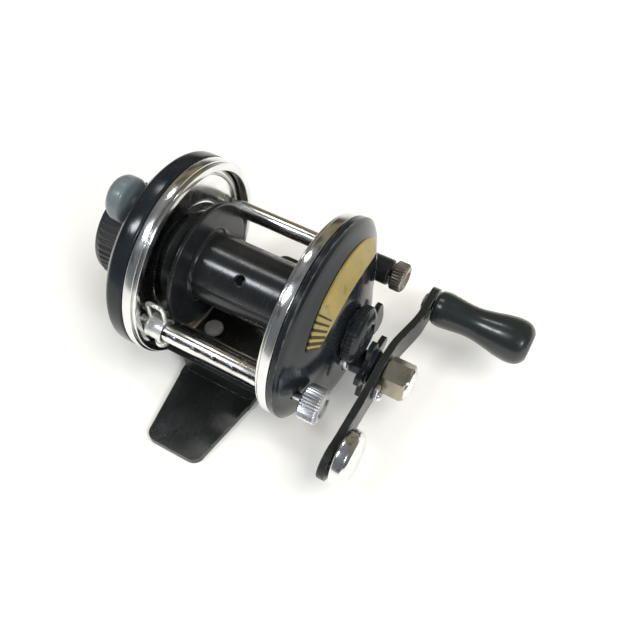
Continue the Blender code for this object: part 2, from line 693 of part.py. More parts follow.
def arm_station(y):
    """Centre x, centre z and half height of the crank arm at a distance y from the drive axis."""
    reach = 33.0 if y < 0 else 30.2
    round_r = 4.9
    end_axis = KNOB if y > 0 else WEIGHT
    z = (end_axis[1] - DRIVE[1]) * min(1.0, abs(y) / abs(end_axis[0]))
    slope = min(1.0, max(0.0, (y - 5.0) / 15.0))
    x = ARM_X + ARM_T / 2.0 + ARM_JOGGLE * slope
    middle = 4.3 + 1.3 * max(0.0, 1.0 - abs(y) / 9.0)
    from_end = reach - abs(y)
    if from_end < round_r:
        high = math.sqrt(max(0.6, round_r ** 2 - (round_r - from_end) ** 2))
    else:
        high = middle + (round_r - middle) * max(0.0, 1.0 - (from_end - round_r) / 8.0)
    return x, z, high


def crank_arm():
    """Flat tapered bar with round ends. The knob end stands a little further out than the middle."""
    places = [-33.0, -32.4, -31.2, -29.6, -27.9, -23.0, -17.0, -9.0, -4.0, 4.0, 5.0, 9.0, 13.0]
    places += [20.0, 23.0, 26.6, 28.4, 29.6, 30.2]
    half_t = ARM_T / 2.0
    bm = bmesh.new()
    sections = []
    for y in places:
        x, z, high = arm_station(y)
        corners = ((x - half_t, z - high), (x + half_t, z - high), (x + half_t, z + high), (x - half_t, z + high))
        sections.append([bm.verts.new((px, y, pz)) for px, pz in corners])
    for first, second in zip(sections, sections[1:]):
        for k in range(4):
            bm.faces.new((first[k], first[(k + 1) % 4], second[(k + 1) % 4], second[k]))
    bm.faces.new(sections[0])
    bm.faces.new(sections[-1])
    arm = mesh_object("crank_arm", bm, world(DRIVE), "black")
    holes = (("shaft", 2.4, DRIVE), ("knob", 1.75, KNOB), ("weight", 1.75, WEIGHT))
    return cut(arm, *[bore("arm_" + name + "_hole", 30.0, 45.0, radius, axis) for name, radius, axis in holes])


def crank_nut():
    """Hexagonal nut with a domed end, and the keeper plate screwed against one of its flats."""
    low = ARM_X + ARM_T + GAP
    nut = prism("crank_nut", arc(5.2, 15, 315, 5), low, 45.6, "bronze", DRIVE)
    dome = [(45.0, 0.0), (45.0, 4.2), (45.6, 4.2), (46.5, 3.2), (46.9, 0.0)]
    join(nut, turned("crank_nut_dome", dome, None, DRIVE, sides=24))
    cut(nut, bore("crank_nut_bore", 36.0, 44.1, 2.4, DRIVE))
    plate = [(-7.3, -3.0), (-5.9, -3.6), (-5.4, 0.5), (-5.5, 3.2), (-7.3, 3.6), (-8.5, 0.6)]
    keeper = prism("nut_keeper", plate, low, low + 1.0, "nickel", DRIVE)
    screw = rod("keeper_screw_shape", low + 0.5, low + 2.0, 1.0, None, (DRIVE[0] - 6.95, DRIVE[1]))
    return join(keeper, screw)


def crank_knob():
    """Handle knob turning on its spindle: a slim waist and a full outer end."""
    base = ARM_X + ARM_JOGGLE + ARM_T + 0.5
    outline = (
        (0.0, 4.2), (0.8, 4.9), (3.7, 4.95), (9.4, 4.35), (14.9, 4.9), (19.5, 5.9), (23.0, 6.2),
        (25.6, 5.6), (26.8, 3.6), (26.0, 3.2), (26.0, 1.85), (0.0, 1.85),
    )
    turned("crank_knob", [(base + x, radius) for x, radius in outline], "black", KNOB, sides=24)
    back = ARM_X + ARM_JOGGLE
    spindle = [
        (back - 1.2, 0.0), (back - 1.2, 2.4), (back - GAP, 2.6), (back - GAP, 1.45),
        (base + 26.3, 1.45), (base + 26.3, 2.7), (base + 26.9, 2.3), (base + 26.9, 0.0),
    ]
    turned("knob_spindle", spindle, "steel", KNOB, sides=20)


def counterweight():
    """Domed disc with a stud through the short end of the arm."""
    face = ARM_X + ARM_T + GAP
    disc = [
        (face, 0.0), (face, 6.2), (face + 0.8, 7.2), (face + 3.0, 7.3), (face + 4.3, 6.3),
        (face + 5.0, 4.2), (face + 5.2, 0.0),
    ]
    piece = turned("counterweight", disc, "chrome", WEIGHT, sides=24)
    return join(piece, rod("weight_stud_shape", ARM_X - 0.8, face + 1.0, 1.45, None, WEIGHT))


def build_crank():
    star = prism("star_wheel", star_outline(), 33.6, 35.2, "black", DRIVE)
    hub = [(29.9, 2.5), (29.9, 3.5), (33.5, 3.5), (33.6, 5.2), (36.2, 5.2), (36.4, 5.0), (36.4, 2.5)]
    join(star, turned("star_hub_shape", hub, None, DRIVE, sides=24))
    cut(star, bore("star_bore", 28.0, 38.0, 2.4, DRIVE))
    crank_arm()
    crank_nut()
    crank_knob()
    counterweight()


def click():
    """Grey click knob on the left cover, and the tongue that it slides towards the click gear."""
    knob = [
        (-26.6, 0.0), (-26.6, 1.3), (-29.4, 1.3), (-29.8, 5.3), (-30.4, 6.0), (-33.2, 6.0),
        (-34.2, 5.2), (-34.7, 3.6), (-34.8, 0.0),
    ]
    turned("click_knob", knob, "grey", CLICK_KNOB)
    reach = math.dist(CLICK_KNOB, SPOOL)
    # The blade hangs beside the click gear and comes over its teeth as the knob slides forward.
    outline = [
        (-1.6, -1.6), (1.6, -1.6), (2.6, 1.2), (reach - 8.0, CLICK_TRAVEL - 0.6),
        (reach - 4.8, CLICK_TRAVEL), (reach - 8.0, CLICK_TRAVEL + 0.6), (2.0, 3.4), (-1.6, 1.6),
    ]
    tongue = prism("click_tongue", outline, -26.2, -25.3, "steel", CLICK_KNOB)
    tongue.rotation_euler = (heading(CLICK_KNOB, SPOOL), 0.0, 0.0)


def thumbscrew(name, axis, base, radius, length):
    """Knurled screw through the crank-side cover."""
    top = base + length
    head = [
        (22.3, 0.0), (22.3, 1.0), (base - 0.1, 1.0), (base, radius - 0.7), (base + 0.5, radius),
        (top - 0.5, radius), (top, radius - 0.6), (top, 0.0),
    ]
    return turned(name, head, "nickel", axis, sides=24)


def build_controls():
    cap = [
        (29.2, 5.9), (29.2, 7.2), (29.6, 7.5), (31.6, 7.5), (32.4, 7.0), (32.9, 5.4), (33.0, 0.0),
        (31.4, 0.0), (31.4, 5.9),
    ]
    turned("cast_control_cap", cap, "black", SPOOL)
    rod("thrust_shim", 29.9, 31.1, 3.0, "brass", SPOOL)
    dial = [
        (-28.8, 7.6), (-28.8, 12.8), (-29.6, 13.4), (-39.2, 13.4), (-40.4, 12.6), (-41.2, 10.6),
        (-41.2, 6.2), (-40.4, 5.6), (-40.4, 0.0), (-27.3, 0.0), (-27.3, 7.6),
    ]
    turned("left_dial", dial, "satin_black", SPOOL)
    click()
    collar = tube("thumbscrew_collar", 23.0, 29.4, 3.5, 1.3, "satin_black", REAR_POST)
    cut(collar, dome_solid("collar_seat", GAP, (26.9, 25.3, 23.4, 20.8, 17.6, 13.8), 20.0, None))
    thumbscrew("upper_thumbscrew", REAR_POST, 29.8, 3.9, 3.8)
    thumbscrew("lower_thumbscrew", LOWER_THUMB, 26.9, 4.5, 5.2)


def main():
    clear_scene()
    build_frame()
    build_spool()
    build_level_wind()
    build_drive()
    build_crank()
    build_controls()


main()
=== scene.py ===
"""Looks of a small round multiplying reel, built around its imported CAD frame.

Shapes are drawn in millimetres about an axis parallel to X, as in the CAD, and become metres in
object_of(). +X points to the crank side, -Y to the level wind and +Z up. A profile is a closed
outline of (x, radius) points, or (x, radius, rib depth) where the surface is ribbed.
"""

import json
import math

import bmesh
import bpy
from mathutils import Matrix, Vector


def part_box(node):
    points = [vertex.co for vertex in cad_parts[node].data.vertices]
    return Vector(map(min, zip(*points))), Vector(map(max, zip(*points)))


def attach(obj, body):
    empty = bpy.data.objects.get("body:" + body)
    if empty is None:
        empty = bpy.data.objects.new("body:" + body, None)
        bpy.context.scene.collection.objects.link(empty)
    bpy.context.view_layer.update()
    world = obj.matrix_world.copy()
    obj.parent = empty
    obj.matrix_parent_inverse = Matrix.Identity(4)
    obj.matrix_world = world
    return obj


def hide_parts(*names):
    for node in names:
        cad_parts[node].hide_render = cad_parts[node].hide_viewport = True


MM = 0.001
SHARP = math.radians(42)     # a crease sharper than this stays sharp in the shading
FULL_TURN = 2.0 * math.pi

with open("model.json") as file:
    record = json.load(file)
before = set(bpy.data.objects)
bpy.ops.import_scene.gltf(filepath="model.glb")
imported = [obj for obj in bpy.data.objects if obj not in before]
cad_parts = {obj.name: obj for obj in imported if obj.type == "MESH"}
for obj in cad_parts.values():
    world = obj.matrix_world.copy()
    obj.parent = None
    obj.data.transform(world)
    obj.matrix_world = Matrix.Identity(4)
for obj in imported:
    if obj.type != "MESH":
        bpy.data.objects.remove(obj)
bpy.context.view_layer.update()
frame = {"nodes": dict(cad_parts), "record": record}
record = frame["record"]
BODIES = record["behaviour"]["bodies"]
BODY_OF = {node: body for body, nodes in BODIES.items() for node in nodes}
SLOT_OF = {part["node"]: part["material_slot"] for part in record["subparts"]}


# ---------------------------------------------------------------- places, read from the frame

def span(node, along=0):
    """Lowest and highest value of a node along one axis, in millimetres."""
    low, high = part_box(node)
    return low[along] / MM, high[along] / MM


def width(node, along=0):
    low, high = span(node, along)
    return high - low


def middle(node, along):
    return sum(span(node, along)) / 2.0


def axis_of(node):
    """(y, z) of the middle of a node, in millimetres."""
    return middle(node, 1), middle(node, 2)


SPOOL = axis_of("left_ring")
DRIVE = axis_of("drive_shaft")
LEVEL_WIND = axis_of("worm_shaft")
KNOB = axis_of("crank_knob")
WEIGHT = axis_of("counterweight")
CLICK = axis_of("click_knob")
GEAR_CASE_AXIS = (0.0, -7.5)  # from the spool's axis
PLATE_R = width("left_ring", 1) / 2.0
GEAR_ROOM_R = 25.0           # inside radius of both covers
COVER_WALL = 1.3
TIE_TILT = 34                # line-tie hole, from straight up towards the level wind
ARM_T = 2.0                  # thickness of the crank arm
ARM_END_R = 4.9              # its rounded ends


# ---------------------------------------------------------------- mesh tools

def object_of(name, bm, axis, turn=0.0):
    """Turn the millimetre mesh into an object placed on an axis parallel to X."""
    bmesh.ops.scale(bm, vec=(MM, MM, MM), verts=bm.verts)
    bmesh.ops.recalc_face_normals(bm, faces=bm.faces)
    mesh = bpy.data.meshes.new(name)
    bm.to_mesh(mesh)
    bm.free()
    made = bpy.data.objects.new(name, mesh)
    made.location = Vector((0.0, axis[0], axis[1])) * MM
    made.rotation_euler = (turn, 0.0, 0.0)
    bpy.context.scene.collection.objects.link(made)
    return made


def add_piece(name, bm, node, material, axis=(0.0, 0.0), bevel=0.0):
    """A visible piece. With a node's name it stands for that CAD node and moves with its body."""
    piece = object_of(name, bm, axis)
    piece.data.shade_smooth()
    piece.data.set_sharp_from_angle(angle=SHARP)
    piece.data.materials.append(material)
    if bevel:
        soften(piece, bevel)
    if node:
        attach(piece, BODY_OF[node])
        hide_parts(node)
    return piece


def soften(piece, reach, segments=3):
    """Round the sharp edges, by a width in millimetres."""
    edge = piece.modifiers.new("edges", "BEVEL")
    edge.width = reach * MM
    edge.segments = segments
    edge.limit_method = "ANGLE"
    edge.angle_limit = math.radians(32)
    edge.harden_normals = True


def eased(profile, reach, steps=3):
    """Replace each corner of a closed outline by a short curve. Points on the axis stay."""
    points = [Vector((*point, 0.0)[:3]) for point in profile]
    result = []
    for k, point in enumerate(points):
        if point.y == 0.0:
            result.append(point)
            continue
        back = points[k - 1] - point
        ahead = points[(k + 1) % len(points)] - point
        start = point + back.normalized() * min(reach, 0.45 * back.length)
        end = point + ahead.normalized() * min(reach, 0.45 * ahead.length)
        for step in range(steps + 1):
            t = step / steps
            result.append(start * (1 - t) ** 2 + point * 2 * t * (1 - t) + end * t * t)
    return result


def flowing(points, steps=6):
    """A smooth open curve through the points."""
    padded = [Vector(points[0])] + [Vector(p) for p in points] + [Vector(points[-1])]
    curve = []
    for a, b, c, d in zip(padded, padded[1:], padded[2:], padded[3:]):
        for step in range(steps):
            t = step / steps
            curve.append(0.5 * (2 * b + (c - a) * t + (2 * a - 5 * b + 4 * c - d) * t ** 2
                                + (3 * b - a - 3 * c + d) * t ** 3))
    curve.append(Vector(points[-1]))
    return [tuple(p) for p in curve]


DOME_TOP = 28.6              # x of the dome where the threaded neck stands on it
NECK_R = 5.6
DOME = flowing([
    (20.9, 27.0), (21.5, 26.9), (22.1, 26.6), (22.7, 26.0), (23.2, 25.0), (23.8, 23.5), (25.0, 20.8),
    (26.3, 17.6), (27.4, 13.8), (28.2, 9.5), (DOME_TOP, NECK_R),
])
GEAR_CASE = flowing([
    (22.0, 18.6), (24.8, 17.9), (26.6, 16.4), (27.6, 14.2), (28.3, 11.0), (DOME_TOP, 6.0),
])


def skin(bm, rings, closed=False):
    """Quads between neighbouring rings of points, and from the last ring to the first if closed."""
    for first, second in zip(rings, rings[1:] + (rings[:1] if closed else [])):
        for k in range(len(first)):
            after = (k + 1) % len(first)
            bm.faces.new((first[k], first[after], second[after], second[k]))


def add_turned(bm, profile, sides=128, ribs=0):
    """Turn a closed profile about the X axis."""
    rings = []
    for point in profile:
        x, radius, depth = (*point, 0.0)[:3]
        if radius == 0.0:
            rings.append([bm.verts.new((x, 0.0, 0.0))])
            continue
        ring = []
        for k in range(sides):
            turn = FULL_TURN * k / sides
            r = radius - depth * (0.5 - 0.5 * math.cos(ribs * turn))
            ring.append(bm.verts.new((x, r * math.cos(turn), r * math.sin(turn))))
        rings.append(ring)
    for first, second in zip(rings, rings[1:] + rings[:1]):
        if len(first) == len(second) == 1:
            continue
        for k in range(sides):
            quad = [first[k % len(first)], first[(k + 1) % len(first)]]
            quad += [second[(k + 1) % len(second)], second[k % len(second)]]
            bm.faces.new(list(dict.fromkeys(quad)))


def turned(node, profile, material, axis=SPOOL, reach=0.3, sides=128, ribs=0, steps=3):
    """A turned piece that stands for a CAD node."""
    bm = bmesh.new()
    add_turned(bm, eased(profile, reach, steps), sides, ribs)
    return add_piece(node + "_look", bm, node, material, axis)


def add_prism(bm, outline, x0, x1):
    """A plate cut to an outline of (y, z) points."""
    low = [bm.verts.new((x0, y, z)) for y, z in outline]
    high = [bm.verts.new((x1, y, z)) for y, z in outline]
    skin(bm, [low, high])
    bm.faces.new(low)
    bm.faces.new(high)


def block(half_y, half_z):
    """Outline of a rectangle about the axis."""
    return [(-half_y, -half_z), (half_y, -half_z), (half_y, half_z), (-half_y, half_z)]


def stand_up(bm, x, y):
    """Turn a shape drawn about the X axis so that it stands along Z at (x, y)."""
    for vert in bm.verts:
        vert.co = Vector((x - vert.co.z, y + vert.co.y, vert.co.x))


def arc(radius, start, end, steps, centre=(0.0, 0.0)):
    """Points (y, z) on an arc, with angles in degrees from +Y towards +Z."""
    points = []
    for k in range(steps + 1):
        turn = math.radians(start + (end - start) * k / steps)
        points.append((centre[0] + radius * math.cos(turn), centre[1] + radius * math.sin(turn)))
    return points


def helper_of(build, axis=(0.0, 0.0), turn=0.0):
    """A shape for a Boolean, which combine() removes again."""
    bm = bmesh.new()
    build(bm)
    return object_of("helper", bm, axis, turn)


def drill(piece, radius, x0, x1, axis, sides=48):
    """A round hole along X."""
    profile = [(x0, 0.0), (x0, radius), (x1, radius), (x1, 0.0)]
    combine(piece, helper_of(lambda bm: add_turned(bm, profile, sides), axis))


def mill(piece, outline, x0, x1, axis, turn):
    """A cut with an outline of (y, z) points, turned about the axis."""
    combine(piece, helper_of(lambda bm: add_prism(bm, outline, x0, x1), axis, turn))


def combine(piece, helper, operation="DIFFERENCE"):
    """Apply a Boolean with the helper now, and remove the helper."""
    boolean = piece.modifiers.new("cut", "BOOLEAN")
    boolean.operation = operation
    boolean.object = helper
    boolean.solver = "EXACT"
    while piece.modifiers[0] != boolean:
        with bpy.context.temp_override(object=piece, active_object=piece):
            bpy.ops.object.modifier_move_to_index(modifier=boolean.name, index=0)
    bpy.context.view_layer.update()
    graph = bpy.context.evaluated_depsgraph_get()
    shown = [m.show_viewport for m in piece.modifiers]
    for modifier in piece.modifiers:
        modifier.show_viewport = modifier == boolean
    bpy.context.view_layer.update()
    mesh = bpy.data.meshes.new_from_object(piece.evaluated_get(graph))
    piece.modifiers.remove(boolean)
    for modifier, state in zip(piece.modifiers, shown[1:]):
        modifier.show_viewport = state
    mesh.shade_smooth()
    mesh.set_sharp_from_angle(angle=SHARP)
    piece.data = mesh
    bpy.data.objects.remove(helper, do_unlink=True)


def add_tube_path(bm, path, radius, sides=16):
    """A round bar along a closed path of 3-D points."""
    rings = []
    count = len(path)
    for k, point in enumerate(path):
        here = Vector(point)
        ahead = Vector(path[(k + 1) % count]) - Vector(path[k - 1])
        ahead.normalize()
        side = ahead.cross(Vector((0.0, 1.0, 0.0))).normalized()
        up = side.cross(ahead)
        ring = []
        for s in range(sides):
            turn = FULL_TURN * s / sides
            ring.append(bm.verts.new(here + (side * math.cos(turn) + up * math.sin(turn)) * radius))
        rings.append(ring)
    skin(bm, rings, closed=True)


# ---------------------------------------------------------------- materials

def wire(tree, value, socket):
    """Link a socket to another node's output, or set it to a plain value."""
    if isinstance(value, bpy.types.NodeSocket):
        tree.links.new(value, socket)
    else:
        socket.default_value = value


def add_node(tree, kind, inputs=None, **settings):
    node = tree.nodes.new(kind)
    for key, value in settings.items():
        setattr(node, key, value)
    for socket, value in (inputs or {}).items():
        wire(tree, value, node.inputs[socket])
    return node


class Surface:
    """A node material on one Principled shader, with short calls to add and wire nodes."""

    def __init__(self, name, colour, roughness, metallic=0.0):
        self.material = bpy.data.materials.new(name)
        self.material.use_nodes = True
        self.tree = self.material.node_tree
        self.shader = self.tree.nodes["Principled BSDF"]
        self.shader.inputs["Metallic"].default_value = metallic
        self.colour = (*colour, 1.0)
        self.roughness = roughness
        self.height = None
        self.place = self.add("ShaderNodeTexCoord").outputs["Object"]

    def add(self, kind, inputs=None, **settings):
        return add_node(self.tree, kind, inputs, **settings)

    def noise(self, scale, detail=3.0, vector=None, stretch=None):
        """Noise with features about 1/scale metres across."""
        place = vector or self.place
        if stretch:
            place = self.add("ShaderNodeMapping", {"Vector": place, "Scale": stretch}).outputs[0]
        inputs = {"Vector": place, "Scale": scale, "Detail": detail, "Roughness": 0.55}
        return self.add("ShaderNodeTexNoise", inputs).outputs["Fac"]

    def spread(self, value, low, high, to_low=0.0, to_high=1.0):
        inputs = {"Value": value, "From Min": low, "From Max": high, "To Min": to_low, "To Max": to_high}
        return self.add("ShaderNodeMapRange", inputs).outputs[0]

    def maths(self, operation, a, b=0.0):
        return self.add("ShaderNodeMath", {0: a, 1: b}, operation=operation).outputs[0]

    def blend(self, amount, other):
        """Paint another colour over the present one."""
        inputs = {"Factor": amount, 6: self.colour, 7: (*other, 1.0)}
        self.colour = self.add("ShaderNodeMix", inputs, data_type="RGBA").outputs[2]

    def roughen(self, amount, by):
        """Add to the roughness, by at most the number by."""
        self.roughness = self.maths("ADD", self.roughness, self.maths("MULTIPLY", amount, by))

    def raise_by(self, amount, by):
        """Add to the height that the bump comes from, in millimetres."""
        part = self.maths("MULTIPLY", amount, by)
        self.height = part if self.height is None else self.maths("ADD", self.height, part)

    def worn_edges(self):
        """1 along convex edges, broken up by noise."""
        soft = self.add("ShaderNodeBevel", {"Radius": 0.35 * MM}, samples=4).outputs[0]
        flat = self.add("ShaderNodeNewGeometry").outputs["Normal"]
        dot = self.add("ShaderNodeVectorMath", {0: soft, 1: flat}, operation="DOT_PRODUCT")
        edge = self.spread(dot.outputs["Value"], 0.985, 0.86)
        return self.maths("MULTIPLY", edge, self.spread(self.noise(420.0, 4.0), 0.42, 0.62))

    def from_axis(self, y, z):
        """Distance from the object's X axis, in metres."""
        square = self.maths("ADD", self.maths("POWER", y, 2.0), self.maths("POWER", z, 2.0))
        return self.maths("SQRT", square)

    def facing_up(self):
        """1 where the surface looks up."""
        normal = self.add("ShaderNodeNewGeometry").outputs["Normal"]
        return self.add("ShaderNodeSeparateXYZ", {0: normal}).outputs[2]

    def done(self, bump=1.0):
        wire(self.tree, self.colour, self.shader.inputs["Base Color"])
        wire(self.tree, self.roughness, self.shader.inputs["Roughness"])
        if self.height is not None:
            inputs = {"Height": self.height, "Distance": MM, "Strength": bump}
            normal = self.add("ShaderNodeBump", inputs).outputs["Normal"]
            wire(self.tree, normal, self.shader.inputs["Normal"])
        return self.material


def black_enamel(name, colour, roughness, shine, peel=0.010, dust=0.10, wear=(0.32, 0.31, 0.29)):
    """Semi-gloss black paint: slight orange peel, hairline scratches, dust on top, rubbed edges."""
    paint = Surface(name, colour, roughness)
    mottle = paint.noise(90.0, 4.0)
    paint.blend(paint.spread(mottle, 0.35, 0.75, 0.0, 0.6), tuple(2.1 * c + 0.004 for c in colour))
    scratch = paint.noise(1500.0, 2.0, stretch=(1.0, 0.06, 0.35))
    hairline = paint.spread(scratch, 0.66, 0.72)
    paint.roughen(hairline, 0.15)
    paint.roughen(paint.spread(mottle, 0.3, 0.8, -1.0, 1.0), 0.07)
    specks = paint.spread(paint.noise(1900.0, 1.0), 0.70, 0.76)
    settled = paint.maths("MULTIPLY", specks, paint.spread(paint.facing_up(), 0.2, 0.9, 0.0, dust))
    paint.blend(settled, (0.30, 0.29, 0.26))
    paint.blend(paint.maths("MULTIPLY", paint.worn_edges(), 0.55), wear)
    paint.raise_by(paint.noise(700.0, 2.0), peel)
    paint.raise_by(hairline, -0.0015)
    paint.shader.inputs["Specular IOR Level"].default_value = shine
    return paint.done()


def lathe_metal(name, colour, tarnish, roughness, marks=0.004, spots=0.35, metallic=1.0):
    """Turned or plated metal: fine lathe lines, roughness patches and a little tarnish."""
    metal = Surface(name, colour, roughness, metallic=metallic)
    patches = metal.noise(160.0, 5.0)
    metal.blend(metal.spread(patches, 0.48, 0.80, 0.0, spots), tarnish)
    metal.roughen(metal.spread(patches, 0.35, 0.75), 0.14)
    x, y, z = metal.add("ShaderNodeSeparateXYZ", {0: metal.place}).outputs
    across = metal.add("ShaderNodeCombineXYZ", {0: x, 1: metal.from_axis(y, z)}).outputs[0]
    rings = metal.noise(2600.0, 2.0, vector=across)
    metal.roughen(metal.spread(rings, 0.35, 0.65), 0.05)
    pits = metal.spread(metal.noise(2200.0, 2.0), 0.70, 0.78)
    metal.blend(metal.maths("MULTIPLY", pits, 0.6), tuple(0.45 * c for c in tarnish))
    metal.roughen(pits, 0.25)
    if marks:
        metal.raise_by(rings, marks)
    metal.raise_by(pits, -0.008)
    return metal.done()


def moulded_plastic(name, colour, lighter, roughness, grain=0.006):
    """Moulded plastic with a fine grain, handling shine and a few scuffs."""
    plastic = Surface(name, colour, roughness)
    handled = plastic.noise(70.0, 3.0)
    plastic.blend(plastic.spread(handled, 0.35, 0.7, 0.0, 0.5), lighter)
    plastic.roughen(plastic.spread(handled, 0.3, 0.7, 1.0, 0.0), 0.10)
    scuff = plastic.spread(plastic.noise(900.0, 3.0, stretch=(0.2, 1.0, 1.0)), 0.66, 0.74)
    plastic.roughen(scuff, 0.22)
    plastic.blend(plastic.maths("MULTIPLY", scuff, 0.25), tuple(3.0 * c + 0.01 for c in lighter))
    plastic.raise_by(plastic.noise(1400.0, 2.0), grain)
    plastic.shader.inputs["Coat Weight"].default_value = 0.25
    plastic.shader.inputs["Coat Roughness"].default_value = 0.12
    return plastic.done()


def gilt():
    """Gold-coloured sector: satin, mottled with tarnish, with a row of dark bars at its lower end."""
    gold = Surface("gilt_sector", (0.37, 0.275, 0.085), 0.36, metallic=0.6)
    cloud = gold.noise(130.0, 5.0)
    gold.blend(gold.spread(cloud, 0.45, 0.72, 0.0, 0.6), (0.29, 0.275, 0.14))
    gold.blend(gold.spread(gold.noise(420.0, 4.0), 0.58, 0.72, 0.0, 0.55), (0.10, 0.085, 0.04))
    gold.roughen(gold.spread(cloud, 0.35, 0.7), 0.16)
    _, y, z = gold.add("ShaderNodeSeparateXYZ", {0: gold.place}).outputs
    radius = gold.from_axis(y, z)
    angle = gold.maths("ARCTAN2", z, y)
    bars_per_turn = 72.0
    wave = gold.maths("SINE", gold.maths("MULTIPLY", angle, bars_per_turn))
    limit = gold.spread(angle, math.radians(120), math.radians(146), 0.55, -0.5)
    bars = gold.spread(gold.maths("SUBTRACT", wave, limit), 0.0, 0.12)
    below_top = gold.spread(radius, 20.9 * MM, 20.7 * MM)
    inside = gold.maths("MULTIPLY", below_top, gold.spread(radius, 15.6 * MM, 15.8 * MM))
    begun = gold.spread(angle, math.radians(119.0), math.radians(119.6))
    part = gold.maths("MULTIPLY", gold.maths("MULTIPLY", bars, inside), begun)
    gold.blend(gold.maths("MULTIPLY", part, 0.92), (0.022, 0.016, 0.012))
    gold.raise_by(part, -0.05)
    gold.raise_by(gold.noise(1600.0, 2.0), 0.006)
    return gold.done()


def floor_paper():
    """Pale paper under the reel, with a faint warm mottle and fibre."""
    paper = Surface("floor_paper", (0.93, 0.905, 0.86), 0.85)
    paper.blend(paper.spread(paper.noise(22.0, 3.0), 0.4, 0.7, 0.0, 0.25), (0.90, 0.885, 0.85))
    paper.raise_by(paper.noise(900.0, 3.0), 0.02)
    return paper.done(0.4)


CHROME = lathe_metal(
    "chrome_plate", (0.80, 0.80, 0.80), (0.46, 0.43, 0.38), 0.08, marks=0.002, spots=0.30)
BAR_CHROME = lathe_metal(
    "bar_chrome", (0.82, 0.81, 0.77), (0.50, 0.46, 0.36), 0.13, marks=0.0, spots=0.4)
NICKEL = lathe_metal("nickel_plate", (0.80, 0.81, 0.84), (0.48, 0.46, 0.44), 0.24, spots=0.5)
OLD_NICKEL = lathe_metal("worn_nickel", (0.40, 0.37, 0.32), (0.20, 0.17, 0.14), 0.28, spots=0.7)
BRONZE = lathe_metal("bronze_plate", (0.42, 0.39, 0.30), (0.18, 0.16, 0.12), 0.24, spots=0.5)
STEEL = lathe_metal("turned_steel", (0.47, 0.47, 0.48), (0.24, 0.22, 0.20), 0.26, marks=0.008)
PLATE_METAL = lathe_metal(
    "plate_metal", (0.86, 0.87, 0.87), (0.55, 0.55, 0.52), 0.10, marks=0.003, spots=0.3)
BRASS = lathe_metal("cut_brass", (0.70, 0.52, 0.22), (0.34, 0.22, 0.10), 0.26, marks=0.006)
GUIDE_CHROME = lathe_metal(
    "guide_chrome", (0.86, 0.87, 0.85), (0.58, 0.56, 0.50), 0.24, marks=0.0, metallic=0.8)
RIVET_ALLOY = lathe_metal(
    "rivet_alloy", (0.80, 0.80, 0.79), (0.55, 0.54, 0.52), 0.42, metallic=0.6)
GILT = gilt()
COVER = black_enamel("cover_enamel", (0.006, 0.008, 0.010), 0.17, peel=0.006, shine=0.34)
ARM_PAINT = black_enamel("arm_enamel", (0.012, 0.013, 0.012), 0.28, dust=0.12, shine=0.25)
SATIN = black_enamel("satin_black", (0.008, 0.009, 0.009), 0.28, shine=0.40)
SPOOL_BLACK = black_enamel(
    "spool_anodise", (0.009, 0.010, 0.011), 0.24, peel=0.005, wear=(0.40, 0.40, 0.40), shine=0.45)
KNOB_BLACK = moulded_plastic("knob_black", (0.010, 0.013, 0.013), (0.020, 0.024, 0.024), 0.26)
DIAL_BLACK = moulded_plastic("dial_black", (0.011, 0.012, 0.014), (0.021, 0.023, 0.025), 0.40)
GREY = moulded_plastic("grey_knob", (0.10, 0.125, 0.135), (0.16, 0.185, 0.195), 0.26)
FIBRE = moulded_plastic("drag_fibre", (0.16, 0.08, 0.04), (0.22, 0.12, 0.06), 0.85, grain=0.02)

BY_SLOT = {
    "chrome": CHROME, "nickel": NICKEL, "steel": STEEL, "brass": BRASS, "gold": GILT, "bronze": BRONZE,
    "cover_black": COVER, "knob_black": KNOB_BLACK, "satin_black": SATIN, "spool_black": SPOOL_BLACK,
    "dial_black": DIAL_BLACK, "grey": GREY, "fibre": FIBRE,
}


# ---------------------------------------------------------------- frame pieces

def mirrored(profile, side):
    """The profile on the +X side (1) or the -X side (-1)."""
    return [(side * point[0], *point[1:]) for point in profile]


def build_rings():
    """Bright ring round each side plate, with a fine groove beside its band."""
    inner, outer = span("right_ring")
    bore = PLATE_R - 2.6
    band = inner + 1.0
    profile = [
        (outer, bore), (outer, PLATE_R), (band, PLATE_R), (band, PLATE_R - 1.1),
        (band - 0.35, PLATE_R - 1.1), (band - 0.35, PLATE_R - 0.55), (inner + 0.1, PLATE_R - 0.65),
        (inner, PLATE_R - 1.1), (inner, bore),
    ]
    for side, node in ((-1, "left_ring"), (1, "right_ring")):
        turned(node, mirrored(profile, side), CHROME, SPOOL, reach=0.28, sides=180)


def build_plates():
    """Bright inner plates with two turned grooves and a black hub."""
    low, high = span("right_plate")
    face = high - 1.3
    edge = PLATE_R - 2.9
    bore = 5.9
    grooves = []
    for radius in (22.6, 15.4):
        grooves += [(face, radius + 0.35), (face + 0.25, radius), (face, radius - 0.35)]
    for side, node, hub in ((-1, "left_plate", 12.0), (1, "right_plate", 8.0)):
        profile = [(high, bore), (high, edge), (face, edge), *grooves, (face, hub + 0.6)]
        profile += [(low + 0.6, hub), (low, hub - 0.6), (low, bore)]
        plate = turned(node, mirrored(profile, side), PLATE_METAL, SPOOL, reach=0.2, steps=2)
        paint_hub(plate, hub + 0.7)


def paint_hub(plate, radius):
    """Give the faces within a radius the satin black paint."""
    plate.data.materials.append(SATIN)
    for face in plate.data.polygons:
        if math.hypot(face.center.y, face.center.z) < radius * MM:
            face.material_index = 1


def along(profile, radius):
    """x of a profile of (x, radius) points at a radius."""
    for (x0, r0), (x1, r1) in zip(profile, profile[1:]):
        if r0 >= radius > r1:
            return x0 + (x1 - x0) * (r0 - radius) / (r0 - r1)
    return profile[0][0] if radius > profile[0][1] else profile[-1][0]


